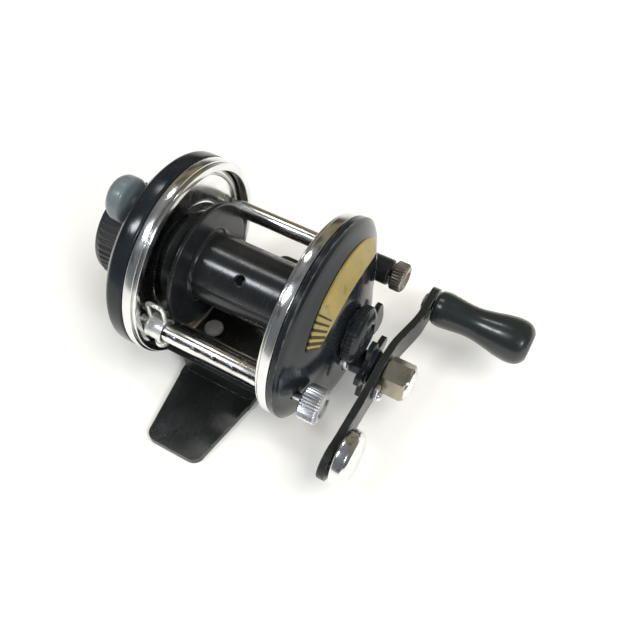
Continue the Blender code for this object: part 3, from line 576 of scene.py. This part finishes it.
def dome_height(y, z):
    """Outer face x of the crank-side cover: a low dome that runs smoothly into the gear case."""
    dome = along(DOME, math.hypot(y, z))
    case = along(GEAR_CASE, math.dist((y, z), GEAR_CASE_AXIS))
    return (dome + case + math.hypot(dome - case, 0.35) - 0.35) / 2.0


def build_left_cover():
    """Flat black cover with a slot for the click knob's stem."""
    face, joint = span("left_cover")
    bore = 8.0
    shell = [
        (joint, PLATE_R), (face + 3.9, PLATE_R), (face + 3.2, PLATE_R - 0.5), (face + 1.2, 24.0),
        (face + 0.3, 21.8), (face, 18.0), (face, bore),
    ]
    inside = [(-27.0, bore), (-27.0, 21.4), (-26.2, 23.2), (-24.6, GEAR_ROOM_R), (joint, GEAR_ROOM_R)]
    left = turned("left_cover", shell + inside, COVER, SPOOL, reach=0.7, sides=160)
    turn = math.atan2(SPOOL[1] - CLICK[1], SPOOL[0] - CLICK[0])
    travel = joint_range("click_slide")[1] / MM
    room = 1.7
    slot = [(-room, -room - travel), (room, -room - travel), (room, room), (-room, room)]
    mill(left, slot, -30.0, -25.0, CLICK, turn)


def ring_on(bm, radius, height, sides):
    """Circle of points about the axis, with x from height(y, z)."""
    ring = []
    for k in range(sides):
        turn = FULL_TURN * k / sides
        y, z = radius * math.cos(turn), radius * math.sin(turn)
        ring.append(bm.verts.new((height(y, z), y, z)))
    return ring


def build_right_cover():
    """Low dome that rises over the gears, with a threaded neck for the cast control."""
    joint, neck = span("right_cover")
    bore = 3.4
    roof = 26.9                  # the gear room goes no further out than this x

    def level(x):
        return lambda y, z: x

    def lining(y, z):
        return min(roof, dome_height(y, z) - COVER_WALL)

    rows = [(PLATE_R, level(joint)), *((PLATE_R - 0.35 * k, dome_height) for k in range(62))]
    rows += [(NECK_R, level(DOME_TOP)), (NECK_R, level(neck - 0.2)), (NECK_R - 0.2, level(neck))]
    rows += [(bore + 0.1, level(neck)), (bore, level(neck - 0.1))]
    rows += [(radius, lining) for radius in (bore, 8.0, 13.0, 17.0, 20.8, 23.4, GEAR_ROOM_R)]
    rows.append((GEAR_ROOM_R, level(joint)))
    bm = bmesh.new()
    skin(bm, [ring_on(bm, radius, height, 200) for radius, height in rows], closed=True)
    cover = add_piece("right_cover_look", bm, "right_cover", COVER, SPOOL)
    drill(cover, 4.1, 21.0, 32.0, DRIVE)
    for node in ("upper_thumbscrew", "lower_thumbscrew"):
        drill(cover, 1.4, 21.0, 32.0, axis_of(node))


def joint_range(name):
    for joint in record["behaviour"]["joints"]:
        if joint["name"] == name:
            return joint["range_m"]
    raise KeyError(name)


def build_crescent():
    """Gold sector that follows the dome, with a raised border and narrower ends."""
    start, end = math.radians(28.5), math.radians(147.5)
    rim_height, rim_width = 0.12, 0.5
    around, across = 140, 26
    rows = []
    bm = bmesh.new()
    for k in range(around + 1):
        part = k / around
        turn = start + (end - start) * part
        outer = 23.1 - 3.0 * part
        wide = 7.2 * (0.35 + 0.65 * math.sqrt(max(0.0, math.sin(math.pi * part))))
        top, bottom = [], []
        for j in range(across + 1):
            across_mm = wide * j / across
            edge = min(across_mm, wide - across_mm, 19.0 * min(part, 1.0 - part) * 2.2)
            radius = outer - across_mm
            y, z = radius * math.cos(turn), radius * math.sin(turn)
            rim = rim_height * min(1.0, edge / 0.18)
            if edge >= rim_width:
                rim = rim_height * max(0.0, 1.0 - (edge - rim_width) / 0.2)
            top.append(bm.verts.new((dome_height(y, z) + 0.40 + rim, y, z)))
            bottom.append(bm.verts.new((dome_height(y, z) + 0.10, y, z)))
        rows.append(top + bottom[::-1])
    skin(bm, rows)
    for row in (rows[0], rows[-1]):
        for j in range(across):
            bm.faces.new((row[j], row[j + 1], row[-2 - j], row[-1 - j]))
    add_piece("label_crescent_look", bm, "label_crescent", GILT, SPOOL)


def build_posts():
    """Round bars with a stepped neck and a fine groove at each end."""
    post_r = 2.3
    for node in ("rear_post", "front_low_post", "rear_low_post"):
        end = span(node)[1]
        half = [
            (end, 0.0), (end, 1.9), (end - 1.6, 1.9), (end - 1.9, post_r), (end - 3.0, post_r),
            (end - 3.2, 2.15), (end - 3.4, post_r),
        ]
        profile = mirrored(half, -1) + half[::-1]
        turned(node, profile, BAR_CHROME, axis_of(node), reach=0.15, sides=48, steps=2)


def build_foot():
    """Blade with rounded corners and a pedestal that spreads to the curved saddle."""
    x_mid = -3.0                 # the blade stands a little towards the left plate
    near, far = span("foot", 1)
    tip, waist, corner, thick = 8.4, 11.4, 3.0, 2.0
    side = [(waist - 0.4, -19.0), (waist, -15.0), (waist, 13.0), (waist - 0.4, 17.0)]
    outline = []
    for x, y, first, last in (
        (-tip, near, 180, 270), (tip, near, 270, 360), (tip, far, 0, 90), (-tip, far, 90, 180),
    ):
        centre = (x + math.copysign(corner, -x), y + math.copysign(corner, -y))
        outline += arc(corner, first, last, 10, centre)
        if (x, y) == (tip, near):
            outline += flowing(side, 4)
        if (x, y) == (-tip, far):
            outline += flowing([(-x, y) for x, y in reversed(side)], 4)
    bm = bmesh.new()
    low = [bm.verts.new((x_mid + x, y, 0.0)) for x, y in outline]
    high = [bm.verts.new((x_mid + x, y, thick)) for x, y in outline]
    skin(bm, [low, high])
    bm.faces.new(low)
    bm.faces.new(high)
    blade = add_piece("foot_look", bm, "foot", SATIN, bevel=0.5)

    def pedestal(bm):
        layers = []
        round_r = 2.0
        for z, half, shift, y0, y1 in (
            (thick - 0.5, 10.8, x_mid, -17.0, 15.0), (3.0, 11.8, x_mid, -16.6, 14.6),
            (5.4, 15.2, x_mid * 0.4, -15.6, 13.6), (7.4, 16.2, 0.0, -15.4, 13.4),
        ):
            low, high = y0 + round_r, y1 - round_r
            ring = arc(round_r, 180, 270, 4, (round_r - half, low))
            ring += arc(round_r, 270, 360, 4, (half - round_r, low))
            ring += arc(round_r, 0, 90, 4, (half - round_r, high))
            ring += arc(round_r, 90, 180, 4, (round_r - half, high))
            layers.append([bm.verts.new((shift + x, y, z)) for x, y in ring])
        skin(bm, layers)
        bm.faces.new(layers[0])
        bm.faces.new(layers[-1])

    base = helper_of(pedestal)
    drill(base, 26.1, -20.0, 20.0, SPOOL, sides=160)
    combine(blade, base, "UNION")


def build_saddle():
    """Curved plate that carries the foot, and the two rivets through it."""
    low, high = span("foot_saddle")
    bm = bmesh.new()
    add_prism(bm, arc(25.8, 222, 318, 60) + arc(24.4, 318, 222, 60), low, high)
    add_piece("foot_saddle_look", bm, "foot_saddle", SATIN, SPOOL, bevel=0.3)
    for node in ("foot_rivet_left", "foot_rivet_right"):
        x, y = middle(node, 0), middle(node, 1)
        seat, top = span(node, 2)
        head_r = 2.7
        head = flowing([(seat + 0.4, head_r), (seat + 0.9, 2.2), (top - 0.1, 1.0)], 5)
        bm = bmesh.new()
        add_turned(bm, [(seat, 0.0), (seat, head_r), *head, (top, 0.0)], 48)
        stand_up(bm, x, y)
        add_piece(node + "_look", bm, node, RIVET_ALLOY)


def build_screws():
    """Slotted screws that hold the left cover."""
    head_r = 2.1
    for node in ("cover_screw_rear", "cover_screw_front", "cover_screw_low"):
        head, base = span(node)
        profile = [
            (base, 0.0), (base, head_r), (base - 0.4, head_r), (base - 0.8, 1.6), (head, 0.7),
            (head, 0.0),
        ]
        screw = turned(node, profile, NICKEL, axis_of(node), reach=0.12, sides=64)
        mill(screw, block(3.0, 0.3), head - 0.5, head + 0.5, axis_of(node), 0.6)


# ---------------------------------------------------------------- spool and level wind

def build_spool():
    """Arbor between two flanges, with a countersunk line-tie hole."""
    edge = span("spool")[1]
    flange_r = width("spool", 2) / 2.0
    arbor = 9.4
    face = edge - 0.9
    back = edge - 1.5
    half = [
        (face, 1.55), (face, 6.0), (edge - 0.5, 6.3), (edge - 0.5, 8.0), (face, 8.3),
        (face, flange_r - 2.6), (edge, flange_r - 2.0), (edge, flange_r - 0.4), (edge - 0.4, flange_r),
        (edge - 1.2, flange_r), (back, flange_r - 0.5), (back, arbor + 0.8), (edge - 2.3, arbor),
    ]
    profile = mirrored(half, -1) + half[::-1]
    spool = turned("spool", profile, SPOOL_BLACK, SPOOL, reach=0.32, sides=160)
    hole_r = 1.3
    hole = [
        (arbor - 3.0, 0.0), (arbor - 3.0, hole_r), (arbor - 0.35, hole_r), (arbor + 0.1, 1.75),
        (arbor + 2.0, 2.4), (arbor + 2.0, 0.0),
    ]
    tie = helper_of(lambda bm: add_turned(bm, hole, 48), SPOOL)
    tie.rotation_mode = "ZYX"
    tie.rotation_euler = (math.radians(TIE_TILT), math.radians(-90), 0.0)
    combine(spool, tie)


def build_worm():
    """Shaft with two crossed helical grooves, seen through the slots of its shield."""
    low, high = span("worm_shaft")
    radius, depth, pitch = 1.2, 0.32, 5.6
    groove_end = 17.5
    steps, sides = 520, 40
    bm = bmesh.new()
    rings = []
    for k in range(steps + 1):
        x = low + (high - low) * k / steps
        ring = []
        for s in range(sides):
            turn = FULL_TURN * s / sides
            phase = FULL_TURN * x / pitch
            groove = max(math.cos(turn - phase), math.cos(turn + phase))
            cut = depth * max(0.0, (groove - 0.80) / 0.20) if abs(x) < groove_end else 0.0
            r = radius - min(depth, 1.6 * cut)
            ring.append(bm.verts.new((x, r * math.cos(turn), r * math.sin(turn))))
        rings.append(ring)
    skin(bm, rings)
    bm.faces.new(rings[0])
    bm.faces.new(rings[-1])
    add_piece("worm_shaft_look", bm, "worm_shaft", STEEL, LEVEL_WIND)


def build_shield():
    """Tube round the worm with a slot towards the spool and a wider one below."""
    low, high = span("worm_shield")
    profile = [(low, 1.7), (low, 2.4), (high, 2.4), (high, 1.7)]
    shield = turned("worm_shield", profile, BAR_CHROME, LEVEL_WIND, reach=0.15, sides=72)
    slot_end = 16.2
    for degrees, half in ((138, 0.55), (-90, 0.9)):
        slot = [(0.0, -half), (4.0, -half), (4.0, half), (0.0, half)]
        mill(shield, slot, -slot_end, slot_end, LEVEL_WIND, math.radians(degrees))
    soften(shield, 0.12, 2)


def build_line_guide():
    """Carriage with a rolled collar at each end, a tall eye of round bar and a pawl cap below."""
    low, high = span("line_guide")
    centre = (low + high) / 2.0
    top = span("line_guide", 2)[1] - LEVEL_WIND[1]
    bore, collar_r, body_r = 2.7, 3.1, 2.95
    body = [
        (low, bore), (low, collar_r), (low + 0.5, collar_r), (low + 0.7, body_r), (high - 0.7, body_r),
        (high - 0.5, collar_r), (high, collar_r), (high, bore),
    ]
    turned("line_guide", body, GUIDE_CHROME, LEVEL_WIND, reach=0.12, sides=96)

    bar, half_wide, corner = 0.55, (high - low) / 2.0 - 0.1, 1.1
    bottom, roof, eye_y = bore, top - bar, 0.5
    loop = []
    for side, z, start in ((1, roof, 0), (-1, roof, 90), (-1, bottom, 180), (1, bottom, 270)):
        mid_x = centre + side * (half_wide - corner)
        mid_z = z - corner if z == roof else z + corner
        for k in range(7):
            turn = math.radians(start + 15 * k)
            loop.append((mid_x + corner * math.cos(turn), eye_y, mid_z + corner * math.sin(turn)))
    bm = bmesh.new()
    add_tube_path(bm, loop, bar)
    eye = add_piece("line_guide_eye", bm, None, GUIDE_CHROME, LEVEL_WIND)
    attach(eye, BODY_OF["line_guide"])

    bm = bmesh.new()
    boss = [(-4.7, 0.0), (-4.7, 1.7), (-2.9, 1.9), (-2.9, 0.0)]
    add_turned(bm, eased(boss, 0.15), 48)
    stand_up(bm, centre, 0.0)
    socket = add_piece("pawl_socket", bm, None, GUIDE_CHROME, LEVEL_WIND)
    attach(socket, BODY_OF["line_guide"])

    base, end = span("pawl_cap", 2)
    bm = bmesh.new()
    cap = [(base, 0.0), (base, 1.3, 0.0), (base + 0.3, 1.9, 0.12), (end, 1.9, 0.12), (end, 0.0)]
    add_turned(bm, eased(cap, 0.15), 96, ribs=16)
    stand_up(bm, middle("pawl_cap", 0), middle("pawl_cap", 1))
    add_piece("pawl_cap_look", bm, "pawl_cap", GUIDE_CHROME)


# ---------------------------------------------------------------- crank side

def build_cast_cap():
    """Knurled cap with a shallow dish in its end."""
    low, high = span("cast_control_cap")
    r = width("cast_control_cap", 2) / 2.0
    bore, rib = 5.9, 0.28
    profile = [
        (low, bore), (low, r - 0.3), (low + 0.4, r - 0.3), (low + 0.5, r, rib), (high - 1.5, r, rib),
        (high - 1.3, r - 0.35), (high - 0.5, r - 1.2), (high, r - 2.4), (high, 3.6), (high - 0.5, 3.2),
        (high - 0.5, 0.0), (high - 1.6, 0.0), (high - 1.6, bore),
    ]
    turned("cast_control_cap", profile, COVER, SPOOL, reach=0.22, sides=240, ribs=40, steps=2)


def star_outline():
    """Star with five soft lobes."""
    valley, tip, lobes = 5.3, 8.7, 5
    start = math.radians(156)
    count = 60 * lobes
    points = []
    for k in range(count):
        turn = FULL_TURN * k / count
        lobe = (0.5 + 0.5 * math.cos(lobes * turn)) ** 1.5
        radius = valley + (tip - valley) * min(1.0, 1.18 * lobe)
        points.append((radius * math.cos(turn + start), radius * math.sin(turn + start)))
    return points


def build_star():
    """Drag star: a stepped hub and a lobed wheel."""
    low, high = span("star_wheel")
    bore, neck_r, hub_r = 2.5, 3.5, 4.9
    hub = [
        (low, bore), (low, neck_r), (low + 3.6, neck_r), (low + 3.8, hub_r), (high - 0.7, hub_r),
        (high - 0.3, 4.4), (high, 4.2), (high, bore),
    ]
    turned("star_wheel", hub, COVER, DRIVE, reach=0.2, sides=96)
    bm = bmesh.new()
    add_prism(bm, star_outline(), low + 3.75, low + 5.25)
    star = add_piece("star_arms", bm, None, COVER, DRIVE, bevel=0.35)
    drill(star, 3.0, 28.0, 40.0, DRIVE, sides=64)
    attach(star, BODY_OF["star_wheel"])


def arm_rise(y):
    """How far the crank arm has stepped outwards at a distance y from the drive axis, 0 to 1."""
    part = min(1.0, max(0.0, (y - 5.0) / 15.0))
    return part * part * (3.0 - 2.0 * part)


def arm_half_height(y, reach):
    """Half height of the arm at a distance y from the drive axis, where it ends at reach."""
    waist = 4.25 + 1.35 * math.exp(-((y / 6.5) ** 2))
    from_end = reach - abs(y)
    if from_end < ARM_END_R:
        return math.sqrt(max(0.0, ARM_END_R ** 2 - (ARM_END_R - from_end) ** 2))
    swell = max(0.0, 1.0 - (from_end - ARM_END_R) / 9.0) ** 2
    return waist + (ARM_END_R - waist) * swell


def build_arm():
    """Flat arm with round ends that steps outwards on the way to the handle knob."""
    inner_x = span("star_wheel")[1] + 0.5
    step_out = span("crank_arm")[1] - ARM_T - inner_x
    near, far = (edge - DRIVE[0] for edge in span("crank_arm", 1))
    rounding = [ARM_END_R * (1.0 - math.cos(math.radians(6 * k))) for k in range(1, 15)]
    straight = far - near - 2.0 * ARM_END_R
    places = [near + part for part in rounding]
    places += [near + ARM_END_R + straight * k / 70 for k in range(71)]
    places += [far - part for part in reversed(rounding)]
    bm = bmesh.new()
    sections = []
    for y in places:
        x = inner_x + step_out * arm_rise(y)
        high = arm_half_height(y, -near if y < 0 else far)
        corners = ((x, -high), (x + ARM_T, -high), (x + ARM_T, high), (x, high))
        sections.append([bm.verts.new((px, y, pz)) for px, pz in corners])
    skin(bm, sections)
    bm.faces.new(sections[0])
    bm.faces.new(sections[-1])
    add_piece("crank_arm_look", bm, "crank_arm", ARM_PAINT, DRIVE, bevel=0.45)


def build_nut():
    """Hexagonal nut with chamfered corners, a stepped end and the keeper beside it."""
    low, high = span("crank_nut")
    flats = high - 1.3
    bm = bmesh.new()
    add_prism(bm, arc(5.2, 15, 315, 5), low, flats)
    nut = add_piece("crank_nut_look", bm, "crank_nut", BRONZE, DRIVE)
    envelope = [
        (low, 0.0), (low, 4.75), (low + 0.55, 5.3), (flats - 0.6, 5.3), (flats, 4.6), (flats, 0.0),
    ]
    combine(nut, helper_of(lambda bm: add_turned(bm, envelope, 96), DRIVE), "INTERSECT")
    soften(nut, 0.12, 2)
    bm = bmesh.new()
    dome = [(flats - 0.3, 0.0), (flats - 0.3, 4.1), (flats + 0.1, 4.1)]
    dome += flowing([(flats + 0.4, 3.9), (flats + 0.9, 3.1), (high, 1.4)], 6) + [(high, 0.0)]
    add_turned(bm, dome, 96)
    end = add_piece("crank_nut_end", bm, None, CHROME, DRIVE)
    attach(end, BODY_OF["crank_nut"])

    low = span("nut_keeper")[0]
    plate = [(-7.3, -3.0), (-5.9, -3.6), (-5.4, 0.5), (-5.5, 3.2), (-7.3, 3.6), (-8.5, 0.6)]
    bm = bmesh.new()
    add_prism(bm, plate, low, low + 1.0)
    add_piece("nut_keeper_look", bm, "nut_keeper", NICKEL, DRIVE, bevel=0.25)
    bm = bmesh.new()
    head = [(low + 0.9, 0.0), (low + 0.9, 1.3), (low + 1.3, 1.3), (low + 2.0, 0.8), (low + 2.0, 0.0)]
    add_turned(bm, eased(head, 0.15), 48)
    centre = (DRIVE[0] - 6.95, DRIVE[1])
    screw = add_piece("keeper_screw", bm, None, NICKEL, centre)
    mill(screw, block(3.0, 0.22), low + 1.55, low + 3.0, centre, 0.8)
    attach(screw, BODY_OF["nut_keeper"])


def build_knob():
    """Waisted handle knob on a slotted spindle."""
    low, high = span("crank_knob")
    waist = flowing([
        (low + 0.7, 4.75), (low + 2.4, 5.0), (low + 4.8, 4.8), (low + 8.6, 4.38), (low + 11.8, 4.42),
        (low + 15.2, 5.0), (low + 18.8, 5.78), (low + 22.2, 6.18), (low + 24.6, 5.85), (low + 26.0, 4.9),
        (high, 3.7),
    ], 7)
    bore = 1.85
    profile = [(low, bore), (low, 4.2), *waist, (high, 3.2), (high - 0.8, 3.1), (high - 0.8, bore)]
    bm = bmesh.new()
    add_turned(bm, profile)
    add_piece("crank_knob_look", bm, "crank_knob", KNOB_BLACK, KNOB)

    low, high = span("knob_spindle")
    stem_r = 1.45
    profile = [
        (low, 0.0), (low, 2.2), (low + 0.4, 2.6), (low + 1.0, 2.6), (low + 1.0, stem_r),
        (high - 0.6, stem_r), (high - 0.6, 2.7), (high - 0.25, 2.7), (high, 2.3), (high, 0.0),
    ]
    spindle = turned("knob_spindle", profile, STEEL, KNOB, reach=0.14, sides=72)
    mill(spindle, block(4.0, 0.35), high - 0.3, high + 0.5, KNOB, 0.5)


def build_counterweight():
    """Bright disc with a rounded crown and a raised middle, on a stem through the arm."""
    low, high = span("counterweight")
    face = high - 5.2
    stem_r = 1.45
    r = width("counterweight", 2) / 2.0
    crown = flowing([(face + 3.9, r - 0.75), (face + 4.5, r - 1.9), (face + 4.8, r - 3.0)], 6)
    profile = [
        (low, 0.0), (low, 1.3), (low + 0.2, stem_r), (face, stem_r), (face, r - 1.1),
        (face + 0.6, r - 0.1), (face + 1.0, r), (face + 3.0, r), *crown, (face + 4.6, r - 3.4),
        (face + 5.0, 3.0), (high, 1.2), (high, 0.0),
    ]
    turned("counterweight", profile, CHROME, WEIGHT, reach=0.25, steps=2)


def build_bush_and_collar():
    """Bush round the drive shaft, and the collar that fits the dome below the upper thumbscrew."""
    low, high = span("drive_bush")
    turned("drive_bush", [(low, 2.4), (low, 3.7), (high, 3.7), (high, 2.4)], NICKEL, DRIVE, sides=72)
    high = span("thumbscrew_collar")[1]
    bore, collar_r = 1.3, 3.5
    axis = axis_of("thumbscrew_collar")
    profile = [(20.0, bore), (20.0, collar_r), (high - 0.4, collar_r), (high, 3.0), (high, bore)]
    collar = turned("thumbscrew_collar", profile, SATIN, axis, reach=0.15, sides=72)

    def seat(bm):
        radii = [26.9 - 0.5 * k for k in range(40)]
        rings = [ring_on(bm, radius, lambda y, z: dome_height(y, z) + 0.1, 180) for radius in radii]
        for edge in (rings[-1], rings[0]):
            rings.append([bm.verts.new((15.0, v.co.y, v.co.z)) for v in edge])
        skin(bm, rings, closed=True)

    combine(collar, helper_of(seat, SPOOL))


def build_thumbscrews():
    """Knurled heads with a chamfer and a shallow dish."""
    stem_r, rib = 1.0, 0.30
    for node, material, length, ribs in (
        ("upper_thumbscrew", OLD_NICKEL, 3.8, 30), ("lower_thumbscrew", NICKEL, 5.2, 34),
    ):
        low, high = span(node)
        r = width(node, 2) / 2.0
        base = high - length
        profile = [
            (low, 0.0), (low, stem_r), (base - 0.1, stem_r), (base, r - 0.8), (base + 0.5, r, rib),
            (high - 0.6, r, rib), (high, r - 0.7), (high, r - 1.9), (high - 0.35, r - 2.3),
            (high - 0.35, 0.0),
        ]
        turned(node, profile, material, axis_of(node), reach=0.16, sides=7 * ribs, ribs=ribs, steps=2)


def build_left_controls():
    """Ribbed dial with a dished end, and the round click knob on its stem."""
    outer, inner = span("left_dial")
    r = width("left_dial", 2) / 2.0
    base = outer + 12.4
    stem_r, rib = 7.6, 0.45
    profile = [
        (base, stem_r), (base, r - 0.6), (base - 0.8, r), (base - 2.2, r), (base - 2.5, r - 0.3),
        (base - 2.8, r - 0.05, rib), (outer + 2.6, r - 0.05, rib), (outer + 2.2, r - 0.4),
        (outer + 0.8, r - 0.8), (outer, r - 2.8), (outer, 6.2), (outer + 0.8, 5.6), (outer + 0.8, 0.0),
        (inner, 0.0), (inner, stem_r),
    ]
    turned("left_dial", profile, DIAL_BLACK, SPOOL, reach=0.3, sides=288, ribs=48, steps=2)

    low, high = span("click_knob")
    profile = [
        (high, 0.0), (high, 1.3), (high - 2.8, 1.3), (high - 3.2, 5.3), (high - 3.8, 6.0),
        (low + 1.8, 6.0), (low + 0.5, 5.3), (low + 0.1, 4.2), (low + 0.35, 3.4), (low, 2.6), (low, 0.0),
    ]
    turned("click_knob", profile, GREY, CLICK, reach=0.5, sides=96, steps=4)


# ---------------------------------------------------------------- stage

def build_stage():
    """Plain floor just below the foot, in metres."""
    half, cells = 1.6, 32
    marks = [half * (2 * k / cells - 1) for k in range(cells + 1)]
    bm = bmesh.new()
    rows = [[bm.verts.new((x, y, 0.0)) for y in marks] for x in marks]
    for row, after in zip(rows, rows[1:]):
        for k in range(cells):
            bm.faces.new((row[k], after[k], after[k + 1], row[k + 1]))
    mesh = bpy.data.meshes.new("floor")
    bm.to_mesh(mesh)
    bm.free()
    mesh.materials.append(floor_paper())
    floor = bpy.data.objects.new("floor", mesh)
    floor.location.z = -0.0001
    bpy.context.scene.collection.objects.link(floor)


def softbox(name, direction, distance, size, radiance, colour, in_reflections=True):
    """Rectangular lamp that faces the reel. Its power follows from its size and brightness."""
    light = bpy.data.lights.new(name, "AREA")
    light.shape = "RECTANGLE"
    light.size, light.size_y = size
    light.energy = radiance * math.pi * size[0] * size[1]
    light.color = colour
    lamp = bpy.data.objects.new(name, light)
    lamp.location = Vector(direction).normalized() * distance + Vector((0.0, 0.0, 0.03))
    lamp.rotation_euler = Vector(direction).to_track_quat("Z", "Y").to_euler()
    lamp.visible_camera = False
    lamp.visible_glossy = in_reflections
    bpy.context.scene.collection.objects.link(lamp)


def build_light():
    """Three softboxes that show in the reflections, and a large one overhead that doesn't."""
    softbox("window", (-0.40, -0.42, 0.81), 0.80, (0.11, 0.15), 34.0, (0.90, 0.95, 1.0))
    softbox("lamp", (-0.37, 0.31, 0.87), 0.80, (0.10, 0.10), 15.0, (1.0, 0.98, 0.95))
    softbox("side", (0.70, -0.40, 0.60), 0.80, (0.14, 0.14), 28.0, (0.86, 0.93, 1.0))
    softbox("overhead", (0.50, -0.08, 0.86), 0.95, (0.56, 0.56), 6.6, (1.0, 0.99, 0.97), False)
    build_world()


def build_world():
    """Even light that brightens at the horizon, and a dim mottled room in the reflections."""
    world = bpy.data.worlds.new("studio")
    world.use_nodes = True
    tree = world.node_tree

    def mixed(factor, low, high):
        inputs = {"Factor": factor, 6: low, 7: high}
        return add_node(tree, "ShaderNodeMix", inputs, data_type="RGBA").outputs[2]

    def spread(value, low, high):
        inputs = {"Value": value, "From Min": low, "From Max": high}
        return add_node(tree, "ShaderNodeMapRange", inputs).outputs[0]

    direction = add_node(tree, "ShaderNodeTexCoord").outputs["Generated"]
    split = add_node(tree, "ShaderNodeSeparateXYZ", {0: direction}).outputs
    rear = spread(split[1], -0.1, 0.5)
    room = mixed(rear, (0.15, 0.165, 0.185, 1.0), (0.26, 0.22, 0.13, 1.0))
    high_up = spread(split[2], 0.55, 0.95)
    room = mixed(high_up, room, (0.20, 0.205, 0.21, 1.0))
    low_down = spread(split[2], 0.16, 0.02)
    room = mixed(low_down, room, (0.34, 0.335, 0.32, 1.0))
    inputs = {"Vector": direction, "Scale": 3.2, "Detail": 2.0}
    blotch = add_node(tree, "ShaderNodeTexNoise", inputs).outputs["Fac"]
    dark = spread(blotch, 0.52, 0.60)
    room = mixed(dark, room, (0.07, 0.065, 0.055, 1.0))
    glossy = add_node(tree, "ShaderNodeLightPath").outputs["Is Glossy Ray"]
    even = mixed(spread(split[2], 0.45, 0.12), (0.42, 0.42, 0.41, 1.0), (0.86, 0.86, 0.84, 1.0))
    seen = mixed(glossy, even, room)
    wire(tree, seen, tree.nodes["Background"].inputs["Color"])
    wire(tree, 1.0, tree.nodes["Background"].inputs["Strength"])
    bpy.context.scene.world = world
    bpy.context.scene.view_settings.view_transform = "Standard"


def build_camera():
    """The photograph's viewpoint, from a camera fitted to the two rings."""
    data = bpy.data.cameras.new("camera")
    data.sensor_width = 36.0
    data.lens = 44.3166
    data.clip_start = 0.01
    camera = bpy.data.objects.new("camera", data)
    camera.location = (0.071298, -0.096381, 0.187521)
    camera.rotation_euler = [math.radians(a) for a in (35.0011, -0.1129, 29.3085)]
    bpy.context.scene.collection.objects.link(camera)
    bpy.context.scene.camera = camera


def paint_cad_nodes():
    """Give each CAD node its finish, for those that no piece replaces."""
    for node, piece in frame["nodes"].items():
        if not piece.material_slots:
            piece.data.materials.append(None)
        for slot in piece.material_slots:
            slot.material = BY_SLOT[SLOT_OF[node]]


def main():
    paint_cad_nodes()
    build_rings()
    build_plates()
    build_left_cover()
    build_right_cover()
    build_crescent()
    build_posts()
    build_foot()
    build_saddle()
    build_screws()
    build_spool()
    build_worm()
    build_shield()
    build_line_guide()
    build_cast_cap()
    build_star()
    build_arm()
    build_nut()
    build_knob()
    build_counterweight()
    build_bush_and_collar()
    build_thumbscrews()
    build_left_controls()
    build_stage()
    build_light()
    build_camera()


main()
